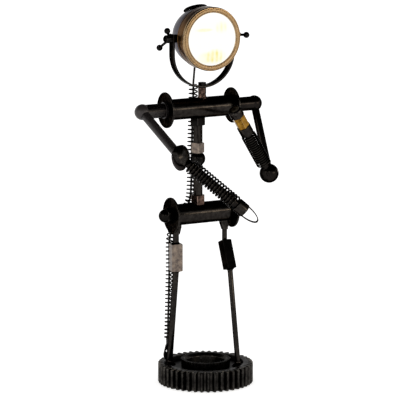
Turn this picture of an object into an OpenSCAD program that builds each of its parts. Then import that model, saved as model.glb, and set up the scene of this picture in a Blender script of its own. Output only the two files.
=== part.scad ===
// Desk lamp built like a robot out of machine parts: a gear for a foot, two legs,
// a tube across the hips, a spine, a tube across the shoulders, two spring-wrapped
// arms and a small headlamp in a stirrup for a head.
// Millimetres. The origin is the centre of the gear's bottom face, +Z is up, the lamp
// faces -Y, and +X is the side of its raised arm.

/* [Base gear] */
// Number of teeth
gear_teeth = 44; // [38:1:52]
// Tooth module
gear_module = 3.5; // [3.2:0.1:3.8]
// Height of the toothed rim
gear_h = 34; // [28:1:42]
// Wall between the tooth roots and the recess
rim_wall = 8.6; // [7:0.2:10]
// Depth of the ring-shaped recess
recess_depth = 7; // [4:0.5:10]
// Bore of the hub
bore_d = 64; // [56:1:66]
// Wall of the hub
hub_wall = 5; // [4:0.5:6]
// Rise of the hub above the rim
hub_rise = 6.5; // [4:0.5:10]
// Width of the chamfer in the mouth of the bore
bore_chamfer = 4.5; // [2:0.25:4.75]
// Chamfer on the tooth ends
tooth_chamfer = 1.2; // [0.5:0.1:2]
// Oil hole in the hub
oil_hole_d = 4; // [2:0.5:5]
// Angle of an oil hole to each side of its pair's middle
oil_hole_half_angle = 14; // [10:1:20]
// Wall of the dog ring pressed onto the hub
dog_wall = 4.4; // [3:0.2:5]
// Number of dog slots
dog_slots = 44; // [30:1:50]
// Width of a dog slot
slot_w = 2.5; // [1.5:0.1:3]
// Depth of a dog slot
slot_depth = 1.5; // [1:0.1:2]
// Height of a dog slot
slot_h = 5.2; // [3:0.2:6]
// Lip above the dog slots
slot_lip = 0.8; // [0.5:0.1:2]

/* [Legs] */
// How far the frame stands behind the gear's centre
body_y = 20; // [14:1:24]
// Left foot, sideways
left_foot_x = -51; // [-54:0.5:-46]
// Left foot, backwards
left_foot_y = 35; // [30:0.5:38]
// Left leg, sideways at the knee
left_leg_x = -46; // [-47:0.5:-42]
// Left leg rod
left_rod_d = 10.5; // [8:0.5:12]
// Underside of the left knee block
left_knee_z = 192; // [170:1:200]
// Height of the left knee block
left_knee_h = 47; // [35:1:50]
// Side of the left knee block
left_knee_w = 19; // [14:0.5:20]
// Turn of the left knee block
left_knee_turn = -11; // [-20:1:0]
// Right foot, sideways
right_foot_x = 47.6; // [42:0.2:52]
// Right foot, forwards
right_foot_y = -28; // [-34:1:-20]
// Right leg, sideways at the knee
right_leg_x = 47; // [42:0.5:50]
// Right shin rod
right_shin_d = 9; // [7:0.5:11]
// Right thigh rod
right_thigh_d = 8.6; // [7:0.2:11]
// Top of the right knee block
right_knee_z = 236; // [225:1:245]
// Drop of the right knee block
right_knee_drop = 46; // [36:1:50]
// Lean of the right knee block, forwards
right_knee_lean = 19.6; // [10:0.2:24]
// Side of the right knee block
right_knee_w = 17; // [13:0.5:19]
// Turn of the right knee block
right_knee_turn = 5; // [0:1:15]
// Radius of the weld at a foot
foot_weld_r = 11.5; // [8:0.5:13]
// Height of the weld at a foot
foot_weld_h = 8; // [4:0.5:10]
// Height of the weld at a knee
knee_weld_h = 3; // [1:0.5:5]
// Width of the gusset at the top of a thigh
gusset_w = 15; // [12:0.5:16]
// Height of the gusset below the hip tube
gusset_h = 15; // [8:0.5:18]

/* [Hips] */
// Height of the hip tube's axis
hip_z = 288; // [280:1:300]
// Hip tube, outside
hip_tube_d = 36; // [30:0.5:40]
// Hip tube, inside
hip_bore_d = 30; // [24:0.5:31]
// Left end of the hip tube
hip_left_x = -52.5; // [-56:0.5:-52]
// Right end of the hip tube
hip_right_x = 57.5; // [54:0.5:62]
// Hip washer
hip_washer_d = 60; // [46:1:64]
// Thickness of all large washers
washer_t = 3; // [2:0.25:4]
// Through bolt
hip_bolt_d = 16; // [12:0.5:18]
// Width across flats of the bolt's head and cap nut
hip_hex_af = 24; // [22:0.5:28]
// Thickness of the bolt's head
hip_head_t = 10; // [6:0.5:12]

/* [Spine] */
// Spine, sideways
spine_x = -4; // [-8:0.5:4]
// Spine rod
spine_rod_d = 15.6; // [12:0.2:17]
// Nut at the foot of the spine, across flats
foot_nut_af = 22; // [20:0.5:26]
// Its height above the hip tube
foot_nut_h = 13; // [8:0.5:16]
// Ball on the spine
spine_ball_d = 25.2; // [22:0.2:28]
// Centre of the ball above the hip tube
ball_rise = 74.5; // [60:0.5:80]
// Side of the square block
spine_block_w = 15.7; // [14:0.1:18]
// Top of the square block above the ball's centre
block_rise = 27.5; // [20:0.5:32]
// Turn of the square block
spine_block_turn = 26; // [0:1:45]
// Nut under the shoulder tube, across flats
collar_nut_af = 24; // [20:0.5:28]
// Its depth below the shoulder tube
collar_nut_h = 11.5; // [8:0.5:16]

/* [Shoulders] */
// Height of the shoulder tube's axis
shoulder_z = 467; // [460:1:480]
// Shoulder tube, outside
shoulder_tube_d = 35; // [32:0.5:40]
// Shoulder tube, inside
shoulder_bore_d = 29; // [28.5:0.5:31]
// Left end of the shoulder tube
shoulder_left_x = -62.9; // [-66:0.1:-60]
// Right end of the shoulder tube
shoulder_right_x = 59; // [56:0.5:66]
// Shoulder washer
shoulder_washer_d = 60; // [46:1:64]
// Shoulder axle
axle_d = 24; // [18:0.5:25]
// Flange that keeps an axle in the tube
flange_d = 27.5; // [26.5:0.25:28]
// Thickness of that flange
flange_t = 4; // [2:0.5:6]
// Collar outside the washer
collar_d = 27.4; // [26:0.2:30]
// Thickness of that collar
collar_t = 3; // [2:0.5:5]

/* [Neck and stirrup] */
// Neck, sideways
head_x = 4; // [0:0.5:8]
// Neck post
neck_d = 13.6; // [12:0.2:16]
// Height of the neck post above the shoulder tube
neck_h = 16.3; // [12:0.1:22]
// Neck bolt
neck_bolt_d = 8; // [6:0.5:9]
// Neck bolt's head, across flats
neck_hex_af = 13; // [12:0.5:15]
// Neck bolt's head, thickness
neck_hex_t = 5.3; // [3:0.1:7]
// Width of the stirrup's strip
yoke_w = 16; // [13:0.5:20]
// Thickness of the stirrup's strip
yoke_t = 3; // [2:0.25:4]
// Straight part of a stirrup arm below the pivot
yoke_straight = 27; // [22:0.5:34]
// Stirrup arm above the pivot
yoke_top = 8; // [6:0.5:12]

/* [Headlamp] */
// Wall of the bezel outside the bowl
bezel_wall = 3.5; // [3:0.25:5]
// How far the bezel laps over the glass
bezel_lap = 6; // [5:0.5:9]
// Front of the bezel ahead of the pivot
bezel_front = 37; // [34:0.5:40]
// Thickness of the bezel's front lip
bezel_lip = 2.1; // [1.5:0.1:3]
// Depth of the bezel
bezel_depth = 6; // [5:0.25:8]
// Bowl, outside
bowl_d = 100; // [94:1:102]
// Wall of the bowl
bowl_wall = 1.2; // [0.8:0.1:2]
// Depth of the bowl's rounded back
bowl_depth = 58; // [54:1:64]
// Where the rounding starts, ahead of the pivot
bowl_shoulder = 4; // [0:0.5:8]
// Depth of the band behind the bezel
band_depth = 21; // [14:0.5:24]
// Wall of the band
band_wall = 2.7; // [1.5:0.1:3]
// Thickness of the lens at its edge
lens_edge = 3.4; // [2.5:0.1:4]
// Bulge of the lens
lens_bulge = 3; // [1:0.25:5]
// Focal length of the reflector
focus = 14; // [13:0.5:17]
// Glass of the bulb
bulb_d = 22; // [16:1:26]
// Lampholder
holder_d = 17.4; // [15:0.2:20]
// Vent cap
vent_d = 41; // [30:1:44]
// Thickness of the vent cap
vent_t = 2.5; // [1.5:0.25:4]
// Vent cap behind the pivot
vent_back = 24; // [18:1:30]
// Lead gland behind the pivot
gland_back = 26; // [20:0.5:30]
// Pivot stud
stud_d = 8; // [6:0.5:9]
// Shoulder of a pivot stud
stud_shoulder_d = 14; // [11:0.5:16]
// Toggle bush on the back of the bowl
bush_d = 12; // [10:0.5:14]
// Throw of the toggle to each side
toggle_throw = 13; // [8:1:16]

/* [Wing nuts] */
// Hub of a wing nut
wing_hub_d = 15; // [12:0.5:18]
// Length of the hub
wing_hub_h = 11; // [8:0.5:14]
// Balls at the ends of the arms
wing_ball_d = 10.5; // [8:0.5:12]
// Reach of a ball from the pivot
wing_reach = 21; // [16:0.5:24]
// How far the balls stand off the stirrup
wing_out = 14.6; // [12:0.2:20]
// Thickness of a wing nut's arm
wing_arm_d = 5.2; // [4:0.2:7]
// Slant of the left wing nut, forwards from upright
left_wing_turn = 42; // [0:1:90]
// Slant of the right wing nut
right_wing_turn = 87; // [0:1:89]

/* [Left arm] */
// End ball of the left axle, sideways
left_ball_x = -108; // [-112:0.5:-100]
// Diameter of both end balls
arm_ball_d = 26.6; // [25:0.2:30]
// Left upper arm rod
left_upper_d = 15.4; // [12:0.2:17]
// Left upper arm, from shoulder to elbow
left_upper_len = 126.4; // [115:0.2:135]
// Off-centre washer at the left elbow
elbow_washer_d = 38; // [35:0.5:40]
// How far it sits below the elbow's centre
elbow_washer_drop = 5; // [0:0.5:6]
// Knob at the left elbow
knob_d = 34.6; // [30:0.2:36]
// Straight side of the knob
knob_h = 9; // [7:0.5:11]
// Rise of the knob's domed face
knob_dome = 5; // [3:0.5:7]
// Stud of the left elbow
elbow_stud_d = 8; // [6:0.5:10]
// Core rod of both forearms
fore_rod_d = 14; // [10:0.5:15]
// Spring of both forearms, outside
fore_spring_d = 25.5; // [24:0.5:27]
// Wire of the left forearm's spring
left_wire_d = 3; // [2.4:0.1:3.4]
// Curls of the left forearm's spring
left_curls = 17; // [12:1:20]
// Start of the left spring from the elbow
left_spring_from = 24; // [23:0.5:28]
// Start of the left hand's sleeve from the elbow
left_sleeve_from = 127; // [115:1:135]
// Length of the left hand's sleeve
left_sleeve_l = 18; // [14:0.5:24]
// Left hand's sleeve, outside
left_sleeve_d = 23.4; // [21:0.2:26]
// Reach of the strap loop beyond the sleeve
loop_reach = 28.5; // [20:0.5:34]
// Width of the strap loop
loop_w = 20.4; // [14:0.2:21]
// Thickness of the strap
loop_t = 1.8; // [1.2:0.1:2.5]
// Width of the strap
strap_w = 6; // [4:0.5:8]

/* [Right arm] */
// End ball of the right axle, sideways
right_ball_x = 103.4; // [98:0.2:110]
// Right upper arm rod
right_upper_d = 13; // [11:0.5:14]
// Right upper arm, from shoulder to elbow
right_upper_len = 123.9; // [115:0.1:130]
// Split ball at the right elbow
elbow_ball_d = 32.5; // [30:0.5:35]
// Thickness of the tongue inside it
tongue_t = 8; // [6:0.5:10]
// Pin of the right elbow
elbow_pin_d = 6; // [4:0.5:8]
// Wire of the right forearm's spring
right_wire_d = 2.8; // [2.2:0.1:3.2]
// Curls of the right forearm's spring
right_curls = 15; // [10:1:16]
// Start of the right spring from the elbow
right_spring_from = 23; // [22:0.5:28]
// Start of the right hand's sleeve from the elbow
right_sleeve_from = 95; // [90:1:100]
// Length of the right hand's sleeve
right_sleeve_l = 17; // [12:0.5:20]
// Right hand's sleeve and cap, outside
right_sleeve_d = 23; // [21:0.5:26]
// Brass hexagon, across flats
hand_hex_af = 19.6; // [18:0.2:22]
// Length of the brass hexagon
hand_hex_l = 24; // [16:0.5:28]
// Length of the rounded cap
hand_cap_l = 15; // [12:0.5:20]

/* [Cable spring and leads] */
// Wire of the cable spring
cable_wire_d = 2.5; // [2:0.1:2.8]
// Cable spring from neck to hip, outside
upper_coil_d = 16; // [14:0.5:17]
// Its curls
upper_curls = 33; // [26:1:34]
// Cable spring from hip to foot, outside
lower_coil_d = 13; // [12:0.5:14]
// Its curls
lower_curls = 32; // [26:1:34]
// Lead
lead_d = 3.6; // [3:0.1:4]
// Loops in each of the two layers of the put-away lead
coil_loops = 5; // [3:1:6]
// Outer loop's radius
coil_r = 36; // [34:0.5:40]
// Spacing of the loops and the layers
coil_spacing = 4.1; // [4.1:0.1:4.6]
// Plug, length
plug_l = 28; // [22:1:34]
// Plug, width
plug_w = 24; // [18:1:26]
// Plug's blades, length
blade_l = 16; // [12:1:18]
// Plug's blades, centre to centre
blade_spacing = 12.6; // [12:0.1:13]
// Plug's blades, width
blade_w = 6.2; // [6:0.1:7]
// Plug's blades, thickness
blade_t = 1.5; // [1.4:0.1:1.7]
// Lug at the spring's foot, width
lug_w = 12; // [9:0.5:14]
// Lug, thickness
lug_t = 3; // [2:0.5:4]
// Lug, height of the hole above the rim
lug_eye_z = 16; // [12:1:20]
// Hole in the lug
lug_eye_d = 4.5; // [3:0.5:6]

/* [Fits] */
// Radial clearance of a shaft that turns in a hole
running_gap = 0.05; // [0.03:0.01:0.08]
// Gap between faces that slide past each other
side_gap = 0.3; // [0.2:0.05:0.4]
// Gap between the curved faces of pieces welded or pressed together
seat_gap = 0.05; // [0.02:0.01:0.1]
// Gap between faces of the stirrup joint
yoke_gap = 0.2; // [0.15:0.05:0.3]

/* [Hidden] */
$fn = 64;
eps = 0.01;
far = 60;

// Base gear
pitch_r = gear_teeth * gear_module / 2;
tip_r = pitch_r + gear_module;
root_r = pitch_r - 1.25 * gear_module;
recess_r = root_r - rim_wall;
web_z = gear_h - recess_depth;
bore_r = bore_d / 2;
hub_r = bore_r + hub_wall;
hub_z = gear_h + hub_rise;
dog_r = hub_r + seat_gap + dog_wall;
slot_z = hub_z - slot_lip - slot_h;
first_oil_pair = 62;

// Frame
left_foot = [left_foot_x, left_foot_y, web_z / 2];
left_knee = [left_leg_x, body_y, left_knee_z];
left_knee_top = left_knee_z + left_knee_h;
right_foot = [right_foot_x, right_foot_y, web_z / 2];
right_knee_top = [right_leg_x, body_y, right_knee_z];
right_knee = right_knee_top - [0, right_knee_lean, right_knee_drop];
right_knee_l = norm(right_knee_top - right_knee);
hip_r = hip_tube_d / 2;
hip_top = hip_z + hip_r;
ball_z = hip_top + ball_rise;
ball_r = spine_ball_d / 2;
ball_cut = sqrt(ball_r * ball_r - spine_rod_d * spine_rod_d / 4);
block_top = ball_z + block_rise;
shoulder_r = shoulder_tube_d / 2;
neck_top = shoulder_z + shoulder_r + neck_h;

// Stirrup and headlamp
bezel_d = bowl_d + 2 * bezel_wall;
bezel_opening_d = bowl_d - 2 * bezel_lap;
yoke_in_r = bezel_d / 2 + 1.5;
yoke_out_r = yoke_in_r + yoke_t;
arc_z = neck_top + yoke_gap + yoke_out_r;
pivot = [head_x, body_y, arc_z + yoke_straight];
bowl_r = bowl_d / 2;
band_front = bezel_front - bezel_depth;
lens_back = bezel_front - bezel_lip - lens_edge;
gasket_t = 1.2;
flange_front = lens_back - gasket_t;
bowl_front = flange_front - 1.2;
mirror_r = bezel_opening_d / 2;
mirror_pole = bowl_front - mirror_r * mirror_r / (4 * focus);
holder_back = mirror_pole - 16.4;
holder_front = mirror_pole + 2.6;
bulb_centre = mirror_pole + focus + 5.6;
bowl_back = bowl_shoulder - bowl_depth;
bush_end = bowl_back - 8;
toggle_z = bowl_back - 4.4;
toggle_pin_d = 1.6;
stud_end = yoke_out_r + side_gap + wing_hub_h + 2;

vent_stem_r = 5;
gland_r = 4;
screw_r = 1.5;

// Leads
lead_r = lead_d / 2;
lug_x = -52.8;
lug_y = 41;
spring_y = body_y + shoulder_r + side_gap + upper_coil_d / 2;
spring_top = [1, spring_y, 503];
gland_z = bowl_radius(-gland_back);
head_lead_top = pivot + [0, gland_back, -gland_z - 6.5];
head_lead_foot = spring_top + [0, 0, 3];
relief_at = [-48.5, 46, 0];
relief_top = 71;
relief_top_d = lower_coil_d - 2 * cable_wire_d - 2;
relief_end = 54;
away = unit([0.47, 0.883, 0]);
along = unit([0.883, -0.47, 0]);

// Arms: directions at rest
left_upper_dir = unit([10.4, -112, -57.6]);
left_axis = unit([0.46, -0.84, 0.28]);
left_fore_dir = unit([0.722, -0.221, -0.655]);
right_upper_dir = unit([0, -0.428, -0.904]);
right_axis = unit([0.690, -0.654, 0.310]);
right_fore_dir = at_right_angles([-0.567, -0.223, 0.793], right_axis);
left_shoulder = [left_ball_x, body_y, shoulder_z];
left_elbow = left_shoulder + left_upper_len * left_upper_dir;
right_shoulder = [right_ball_x, body_y, shoulder_z];
right_elbow = right_shoulder + right_upper_len * right_upper_dir;
left_loop_side = unit(cross(left_fore_dir, away));
left_loop_face = cross(left_loop_side, left_fore_dir);
elbow_ball_r = elbow_ball_d / 2;
fore_rod_r = fore_rod_d / 2;
left_sleeve_to = left_sleeve_from + left_sleeve_l;
right_hex_from = right_sleeve_from + right_sleeve_l;
right_cap_from = right_hex_from + hand_hex_l;

// Colours
BLACK = "#1b1917";
DARK = "#2b2623";
WORN = "#4a4440";

// Route of the lead inside the cable spring, from the neck to the foot
cable_route = [
    spring_top, [0, spring_y, 460], [-2, spring_y, 400], [-3, spring_y, 340], [-6, 47, 305],
    [-20, 47, 282], [-38, 45, 262], [-48, 39, 243], [-49, 38.5, 215], [-49, 38.5, 188],
    [-50, 40, 120], [-48.5, 46, 68]
];
// Route of the free lead, as distances [away from the lamp, up] from the strain relief
lead_route = [
    [0, 54], [0, 52], [1, 48.5], [3.5, 44.5], [7, 41.5], [11, 39.8], [15, 39],
    [22, 38], [28.5, 36.8], [34, 34.8], [38.5, 31.5], [42, 27], [43.5, 21.7],
    [43.8, 16.8], [45, 11.5], [47.5, 7], [51, 4], [54.5, 2.3], [58.5, 1.8],
    [70, 1.8], [85, 1.8]
];
lead_run = 98;
coil_entry = relief_at + (lead_run + lead_d) * away + [0, 0, lead_r];
coil_centre = coil_entry + coil_r * along;

// Bowl's outside radius at a distance ahead of the pivot
function bowl_radius(h) =
    h > bowl_shoulder ? bowl_r : bowl_r * sqrt(1 - pow((h - bowl_shoulder) / bowl_depth, 2));
// Distance ahead of the pivot of the bowl's inside, at a radius
function bowl_inside_h(r) =
    bowl_shoulder - (bowl_depth - bowl_wall) * sqrt(1 - pow(r / (bowl_r - bowl_wall), 2));
function unit(v) = v / norm(v);
function across(v) = abs(v.x) < 0.9 ? [1, 0, 0] : [0, 1, 0];
function at_right_angles(v, t) = unit(v - (v * t) * t);

// Smooth curve through the points of a route
function smooth(p, i, t) =
    let (a = p[max(i - 1, 0)], b = p[i], c = p[i + 1], d = p[min(i + 2, len(p) - 1)])
    0.5 * (2 * b + (c - a) * t + (2 * a - 5 * b + 4 * c - d) * t * t
        + (3 * b - a - 3 * c + d) * t * t * t);
function curve(p, steps) = [
    for (i = [0 : len(p) - 2]) for (k = [0 : steps - 1]) smooth(p, i, k / steps),
    p[len(p) - 1]
];
function lengths(p, i = 0, sum = 0, out = [0]) =
    i == len(p) - 1 ? out :
    let (next = sum + norm(p[i + 1] - p[i])) lengths(p, i + 1, next, concat(out, [next]));
// Point and direction at a length along a curve
function along_curve(p, run, s) = [
    for (k = [0 : 2]) lookup(s, [for (i = [0 : len(p) - 1]) [run[i], p[i][k]]])
];
function heading(p, run, s) =
    let (total = run[len(run) - 1], a = max(s - 2, 0), b = min(s + 2, total))
    unit(along_curve(p, run, b) - along_curve(p, run, a));

// Centre line of a spring wound round a curve, between two lengths along it
function wound(p, run, from, to, r, curls, rings) = [
    for (i = [0 : curls * rings])
        let (s = from + (to - from) * i / (curls * rings), t = heading(p, run, s),
            n = at_right_angles([0, -1, 0], t), turn = 360 * i / rings)
        along_curve(p, run, s) + r * (cos(turn) * n + sin(turn) * cross(t, n))
];
function wound_axes(p, run, from, to, curls, rings) = [
    for (i = [0 : curls * rings]) heading(p, run, from + (to - from) * i / (curls * rings))
];
// The same with a straight end, one wire long, at each end
function with_ends(p, d) = concat(
    [p[0] + d * unit(p[0] - p[1])], p, [p[len(p) - 1] + d * unit(p[len(p) - 1] - p[len(p) - 2])]);
function with_end_axes(a) = concat([a[0]], a, [a[len(a) - 1]]);
// Least distance between the surfaces of a tube's runs that pass each other
function least_gap(p, skip, d) = min([
    for (i = [0 : len(p) - 1 - skip]) for (j = [i + skip : len(p) - 1]) norm(p[i] - p[j])
]) - d;

// Centre line of the put-away lead: two layers that spiral in and out again
function to_and_fro(t, n) = abs(t - n);
function climb(t, n) = min(max((t - n + 0.25) / 0.5, 0), 1);
function coil_point(t) =
    let (r = coil_r - coil_spacing * (coil_loops - to_and_fro(t, coil_loops)), turn = -360 * t)
    coil_centre + r * (-cos(turn) * along - sin(turn) * away)
    + [0, 0, coil_spacing * climb(t, coil_loops)];
coil_rings = 16;
coil_turns = 2 * coil_loops + 0.375;
coil_body = [for (i = [0 : coil_turns * coil_rings]) coil_point(i / coil_rings)];
coil_end = coil_body[len(coil_body) - 1];
plug_dir = unit(along - away);
plug_relief_l = 9;
// The tail is long enough for the plug to lie clear of the loops
tail_l = sqrt(pow(coil_r + lead_d, 2) - pow(norm(coil_end - coil_centre) - plug_w / 2, 2))
    - plug_relief_l;
coil_line = concat([coil_body[0] - lead_d * away], coil_body,
    [coil_end + tail_l / 2 * plug_dir, coil_end + tail_l * plug_dir]);
plug_at = coil_line[len(coil_line) - 1];

curl_rings = 7;
cable_curve = curve(cable_route, 6);
cable_run = lengths(cable_curve);
cable_total = cable_run[len(cable_run) - 1];
cable_half = 225;
upper_pitch_r = (upper_coil_d - cable_wire_d) / 2;
lower_pitch_r = (lower_coil_d - cable_wire_d) / 2;
upper_line = with_ends(wound(cable_curve, cable_run, 0, cable_half, upper_pitch_r,
    upper_curls, curl_rings), cable_wire_d);
upper_axes = with_end_axes(wound_axes(cable_curve, cable_run, 0, cable_half,
    upper_curls, curl_rings));
lower_line = with_ends(wound(cable_curve, cable_run, cable_half + 6, cable_total,
    lower_pitch_r, lower_curls, curl_rings), cable_wire_d);
lower_axes = with_end_axes(wound_axes(cable_curve, cable_run, cable_half + 6, cable_total,
    lower_curls, curl_rings));

// Centre line of a forearm's spring: hooked in to the rod, ended square on the sleeve
function fore_line(from, to, d, curls) =
    let (r = (fore_spring_d - d) / 2, last = to - side_gap / 2, top = last - d - 1)
    concat([[fore_rod_r + side_gap, 0, from]],
        [for (i = [0 : curls * curl_rings]) let (turn = 360 * i / curl_rings)
            [r * cos(turn), r * sin(turn), from + (top - from) * i / (curls * curl_rings)]],
        [[r, 0, last]]);
function fore_axes(line) = [
    for (i = [0 : len(line) - 1]) i == len(line) - 1 ? [0, -1, 0] : [0, 0, 1]
];
left_line = fore_line(left_spring_from, left_sleeve_from, left_wire_d, left_curls);
right_line = fore_line(right_spring_from, right_sleeve_from, right_wire_d, right_curls);

echo(least_gap_upper_spring = least_gap(upper_line, 4, cable_wire_d));
echo(least_gap_lower_spring = least_gap(lower_line, 4, cable_wire_d));
echo(least_gap_left_spring = least_gap(left_line, 4, left_wire_d));
echo(least_gap_right_spring = least_gap(right_line, 4, right_wire_d));
echo(least_gap_lead_coil = least_gap(coil_line, 8, lead_d));

// Places children at a point, with +Z along an axis and +X towards a direction
module aligned(origin, axis, toward) {
    z = unit(axis);
    x = at_right_angles(toward, z);
    y = cross(z, x);
    multmatrix([
        [x.x, y.x, z.x, origin.x],
        [x.y, y.y, z.y, origin.y],
        [x.z, y.z, z.z, origin.z],
        [0, 0, 0, 1]
    ]) children();
}

module rod(start, end, d) {
    aligned(start, end - start, across(unit(end - start))) cylinder(d = d, h = norm(end - start));
}

module hexagon(af, h) {
    cylinder(d = af / cos(30), h = h, $fn = 6);
}

module along_x(x, z) {
    translate([x, body_y, z]) rotate([0, 90, 0]) children();
}

module square_bar(w, h) {
    translate([-w / 2, -w / 2, 0]) cube([w, w, h]);
}

// Tube swept along points, with one side turned towards the given axes
module tube(points, axes, d, sides) {
    last = len(points) - 1;
    rings = [
        for (i = [0 : last])
            let (t = unit(points[min(i + 1, last)] - points[max(i - 1, 0)]),
                n = at_right_angles(axes[i], t), b = cross(t, n))
            for (k = [0 : sides - 1])
                points[i] + d / 2 * (cos(360 * k / sides) * n + sin(360 * k / sides) * b)
    ];
    walls = [
        for (i = [0 : last - 1]) for (k = [0 : sides - 1])
            let (a = i * sides + k, b = i * sides + (k + 1) % sides)
            each [[a, b + sides, b], [a, a + sides, b + sides]]
    ];
    caps = [
        for (k = [1 : sides - 2])
            each [[0, k, k + 1], [last * sides, last * sides + k + 1, last * sides + k]]
    ];
    polyhedron(rings, concat(walls, caps));
}

// Base

module tooth_outline() {
    step = 360 / gear_teeth;
    flank = [
        [root_r, -0.30 * step], [pitch_r - 0.45 * gear_module, -0.27 * step],
        [pitch_r + 0.35 * gear_module, -0.20 * step], [tip_r, -0.11 * step],
        [tip_r, 0.11 * step], [pitch_r + 0.35 * gear_module, 0.20 * step],
        [pitch_r - 0.45 * gear_module, 0.27 * step], [root_r, 0.30 * step]
    ];
    polygon([
        for (i = [0 : gear_teeth - 1]) for (f = flank)
            f[0] * [cos(i * step + f[1]), sin(i * step + f[1])]
    ]);
}

module base_gear() {
    color(BLACK) difference() {
        union() {
            intersection() {
                linear_extrude(gear_h) tooth_outline();
                rotate_extrude() polygon([
                    [0, 0], [tip_r - tooth_chamfer, 0], [tip_r, tooth_chamfer],
                    [tip_r, gear_h - tooth_chamfer], [tip_r - tooth_chamfer, gear_h], [0, gear_h]
                ]);
            }
            cylinder(r = hub_r, h = hub_z);
        }
        translate([0, 0, web_z]) difference() {
            cylinder(r = recess_r, h = far);
            cylinder(r = hub_r, h = far);
        }
        translate([0, 0, -eps]) cylinder(r = bore_r, h = hub_z + 1);
        translate([0, 0, hub_z - bore_chamfer])
            cylinder(r1 = bore_r, r2 = bore_r + bore_chamfer + eps, h = bore_chamfer + eps);
        for (k = [0 : 2]) for (side = [-oil_hole_half_angle, oil_hole_half_angle])
            rotate([0, 0, first_oil_pair + 120 * k + side]) translate([bore_r - 2, 0, web_z + 6])
                rotate([0, 90, 0]) cylinder(d = oil_hole_d, h = hub_wall, $fn = 24);
    }
}

module dog_ring() {
    color(DARK) difference() {
        translate([0, 0, web_z]) cylinder(r = dog_r, h = hub_z - web_z);
        cylinder(r = hub_r + seat_gap, h = far);
        for (i = [0 : dog_slots - 1])
            rotate([0, 0, i * 360 / dog_slots])
                translate([dog_r - slot_depth, -slot_w / 2, slot_z]) cube([slot_depth + 1, slot_w, slot_h]);
    }
}

// Solid that the feet stand on: the web, the rim's wall and the dog ring
module foot_seat() {
    difference() {
        translate([0, 0, -eps]) cylinder(r = tip_r, h = gear_h + eps);
        translate([0, 0, web_z]) cylinder(r = recess_r - seat_gap, h = far);
    }
    cylinder(r = dog_r + seat_gap, h = hub_z);
}

module foot_weld(foot) {
    translate([foot.x, foot.y, web_z])
        cylinder(r1 = foot_weld_r, r2 = foot_weld_r / 2, h = foot_weld_h);
}

module weld_cone(at, axis, d) {
    aligned(at, axis, across(unit(axis))) cylinder(d1 = d + 2 * knee_weld_h, d2 = d, h = knee_weld_h);
}

// Legs

module left_shin() {
    color(BLACK) difference() {
        union() {
            rod(left_foot, left_knee + [0, 0, 5], left_rod_d);
            foot_weld(left_foot);
            weld_cone(left_knee, [0, 0, -1], left_rod_d);
        }
        foot_seat();
        left_knee_shape();
        translate([relief_at.x - far, lug_y - lug_t / 2 - side_gap, 0]) cube([2 * far, far, far]);
    }
}

module left_knee_shape() {
    translate(left_knee) rotate([0, 0, left_knee_turn]) square_bar(left_knee_w, left_knee_h);
}

module left_knee_block() {
    color(WORN) left_knee_shape();
}

// Thigh rod with a plate gusset, both cut to the hip tube
module thigh(x, d, shift, from) {
    difference() {
        union() {
            translate([x, body_y, from - 10]) cylinder(d = d, h = hip_z - from);
            translate([x + shift, body_y + d / 2, hip_z - hip_r - gusset_h]) rotate([90, 0, 0])
                linear_extrude(d) polygon([
                    [-gusset_w / 2, gusset_h + 8], [gusset_w / 2, gusset_h + 8],
                    [gusset_w / 2, gusset_h - 3], [d / 2 - shift, 0], [-d / 2 - shift, 0],
                    [-gusset_w / 2, gusset_h - 3]
                ]);
        }
        along_x(-2 * far, hip_z) cylinder(r = hip_r + seat_gap, h = 4 * far);
    }
}

module left_thigh() {
    color(BLACK) difference() {
        union() {
            thigh(left_leg_x, left_rod_d, 1, left_knee_top);
            weld_cone([left_leg_x, body_y, left_knee_top], [0, 0, 1], left_rod_d);
        }
        left_knee_shape();
    }
}

module right_knee_shape() {
    aligned(right_knee, right_knee_top - right_knee, [1, 0, 0])
        rotate([0, 0, right_knee_turn]) square_bar(right_knee_w, right_knee_l);
}

module right_knee_block() {
    color(DARK) right_knee_shape();
}

module right_shin() {
    color(BLACK) difference() {
        union() {
            rod(right_foot, right_knee + 5 * unit(right_knee - right_foot), right_shin_d);
            foot_weld(right_foot);
            weld_cone(right_knee, right_knee - right_knee_top, right_shin_d);
        }
        foot_seat();
        right_knee_shape();
    }
}

module right_thigh() {
    color(BLACK) difference() {
        thigh(right_leg_x, right_thigh_d, -1, right_knee_z);
        right_knee_shape();
    }
}

// Hips

module tube_x(x1, x2, z, d, bore) {
    along_x(x1, z) difference() {
        cylinder(d = d, h = x2 - x1);
        translate([0, 0, -eps]) cylinder(d = bore, h = x2 - x1 + 1);
    }
}

module hip_tube() {
    color(BLACK) {
        tube_x(hip_left_x, hip_right_x, hip_z, hip_tube_d, hip_bore_d);
    }
}

module hip_washers() {
    color(DARK) for (x = [hip_left_x - washer_t, hip_right_x])
        tube_x(x, x + washer_t, hip_z, hip_washer_d, hip_bolt_d + 2 * seat_gap);
}

module hip_bolt() {
    color(DARK) {
        along_x(hip_left_x - washer_t - 12, hip_z)
            cylinder(d = hip_bolt_d, h = hip_right_x - hip_left_x + 2 * washer_t + 12);
        along_x(hip_right_x + washer_t, hip_z) hexagon(hip_hex_af, hip_head_t);
    }
}

module hip_cap_nut() {
    face = hip_left_x - washer_t;
    color(DARK) difference() {
        union() {
            along_x(face - hip_head_t, hip_z) hexagon(hip_hex_af, hip_head_t);
            intersection() {
                translate([face - hip_head_t, body_y, hip_z]) sphere(d = hip_hex_af - 1);
                translate([face - hip_head_t - far, body_y - far / 2, hip_z - far / 2])
                    cube([far + 1, far, far]);
            }
        }
        along_x(face - 12.2, hip_z) cylinder(d = hip_bolt_d + 2 * seat_gap, h = 20);
    }
}

// Spine

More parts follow.
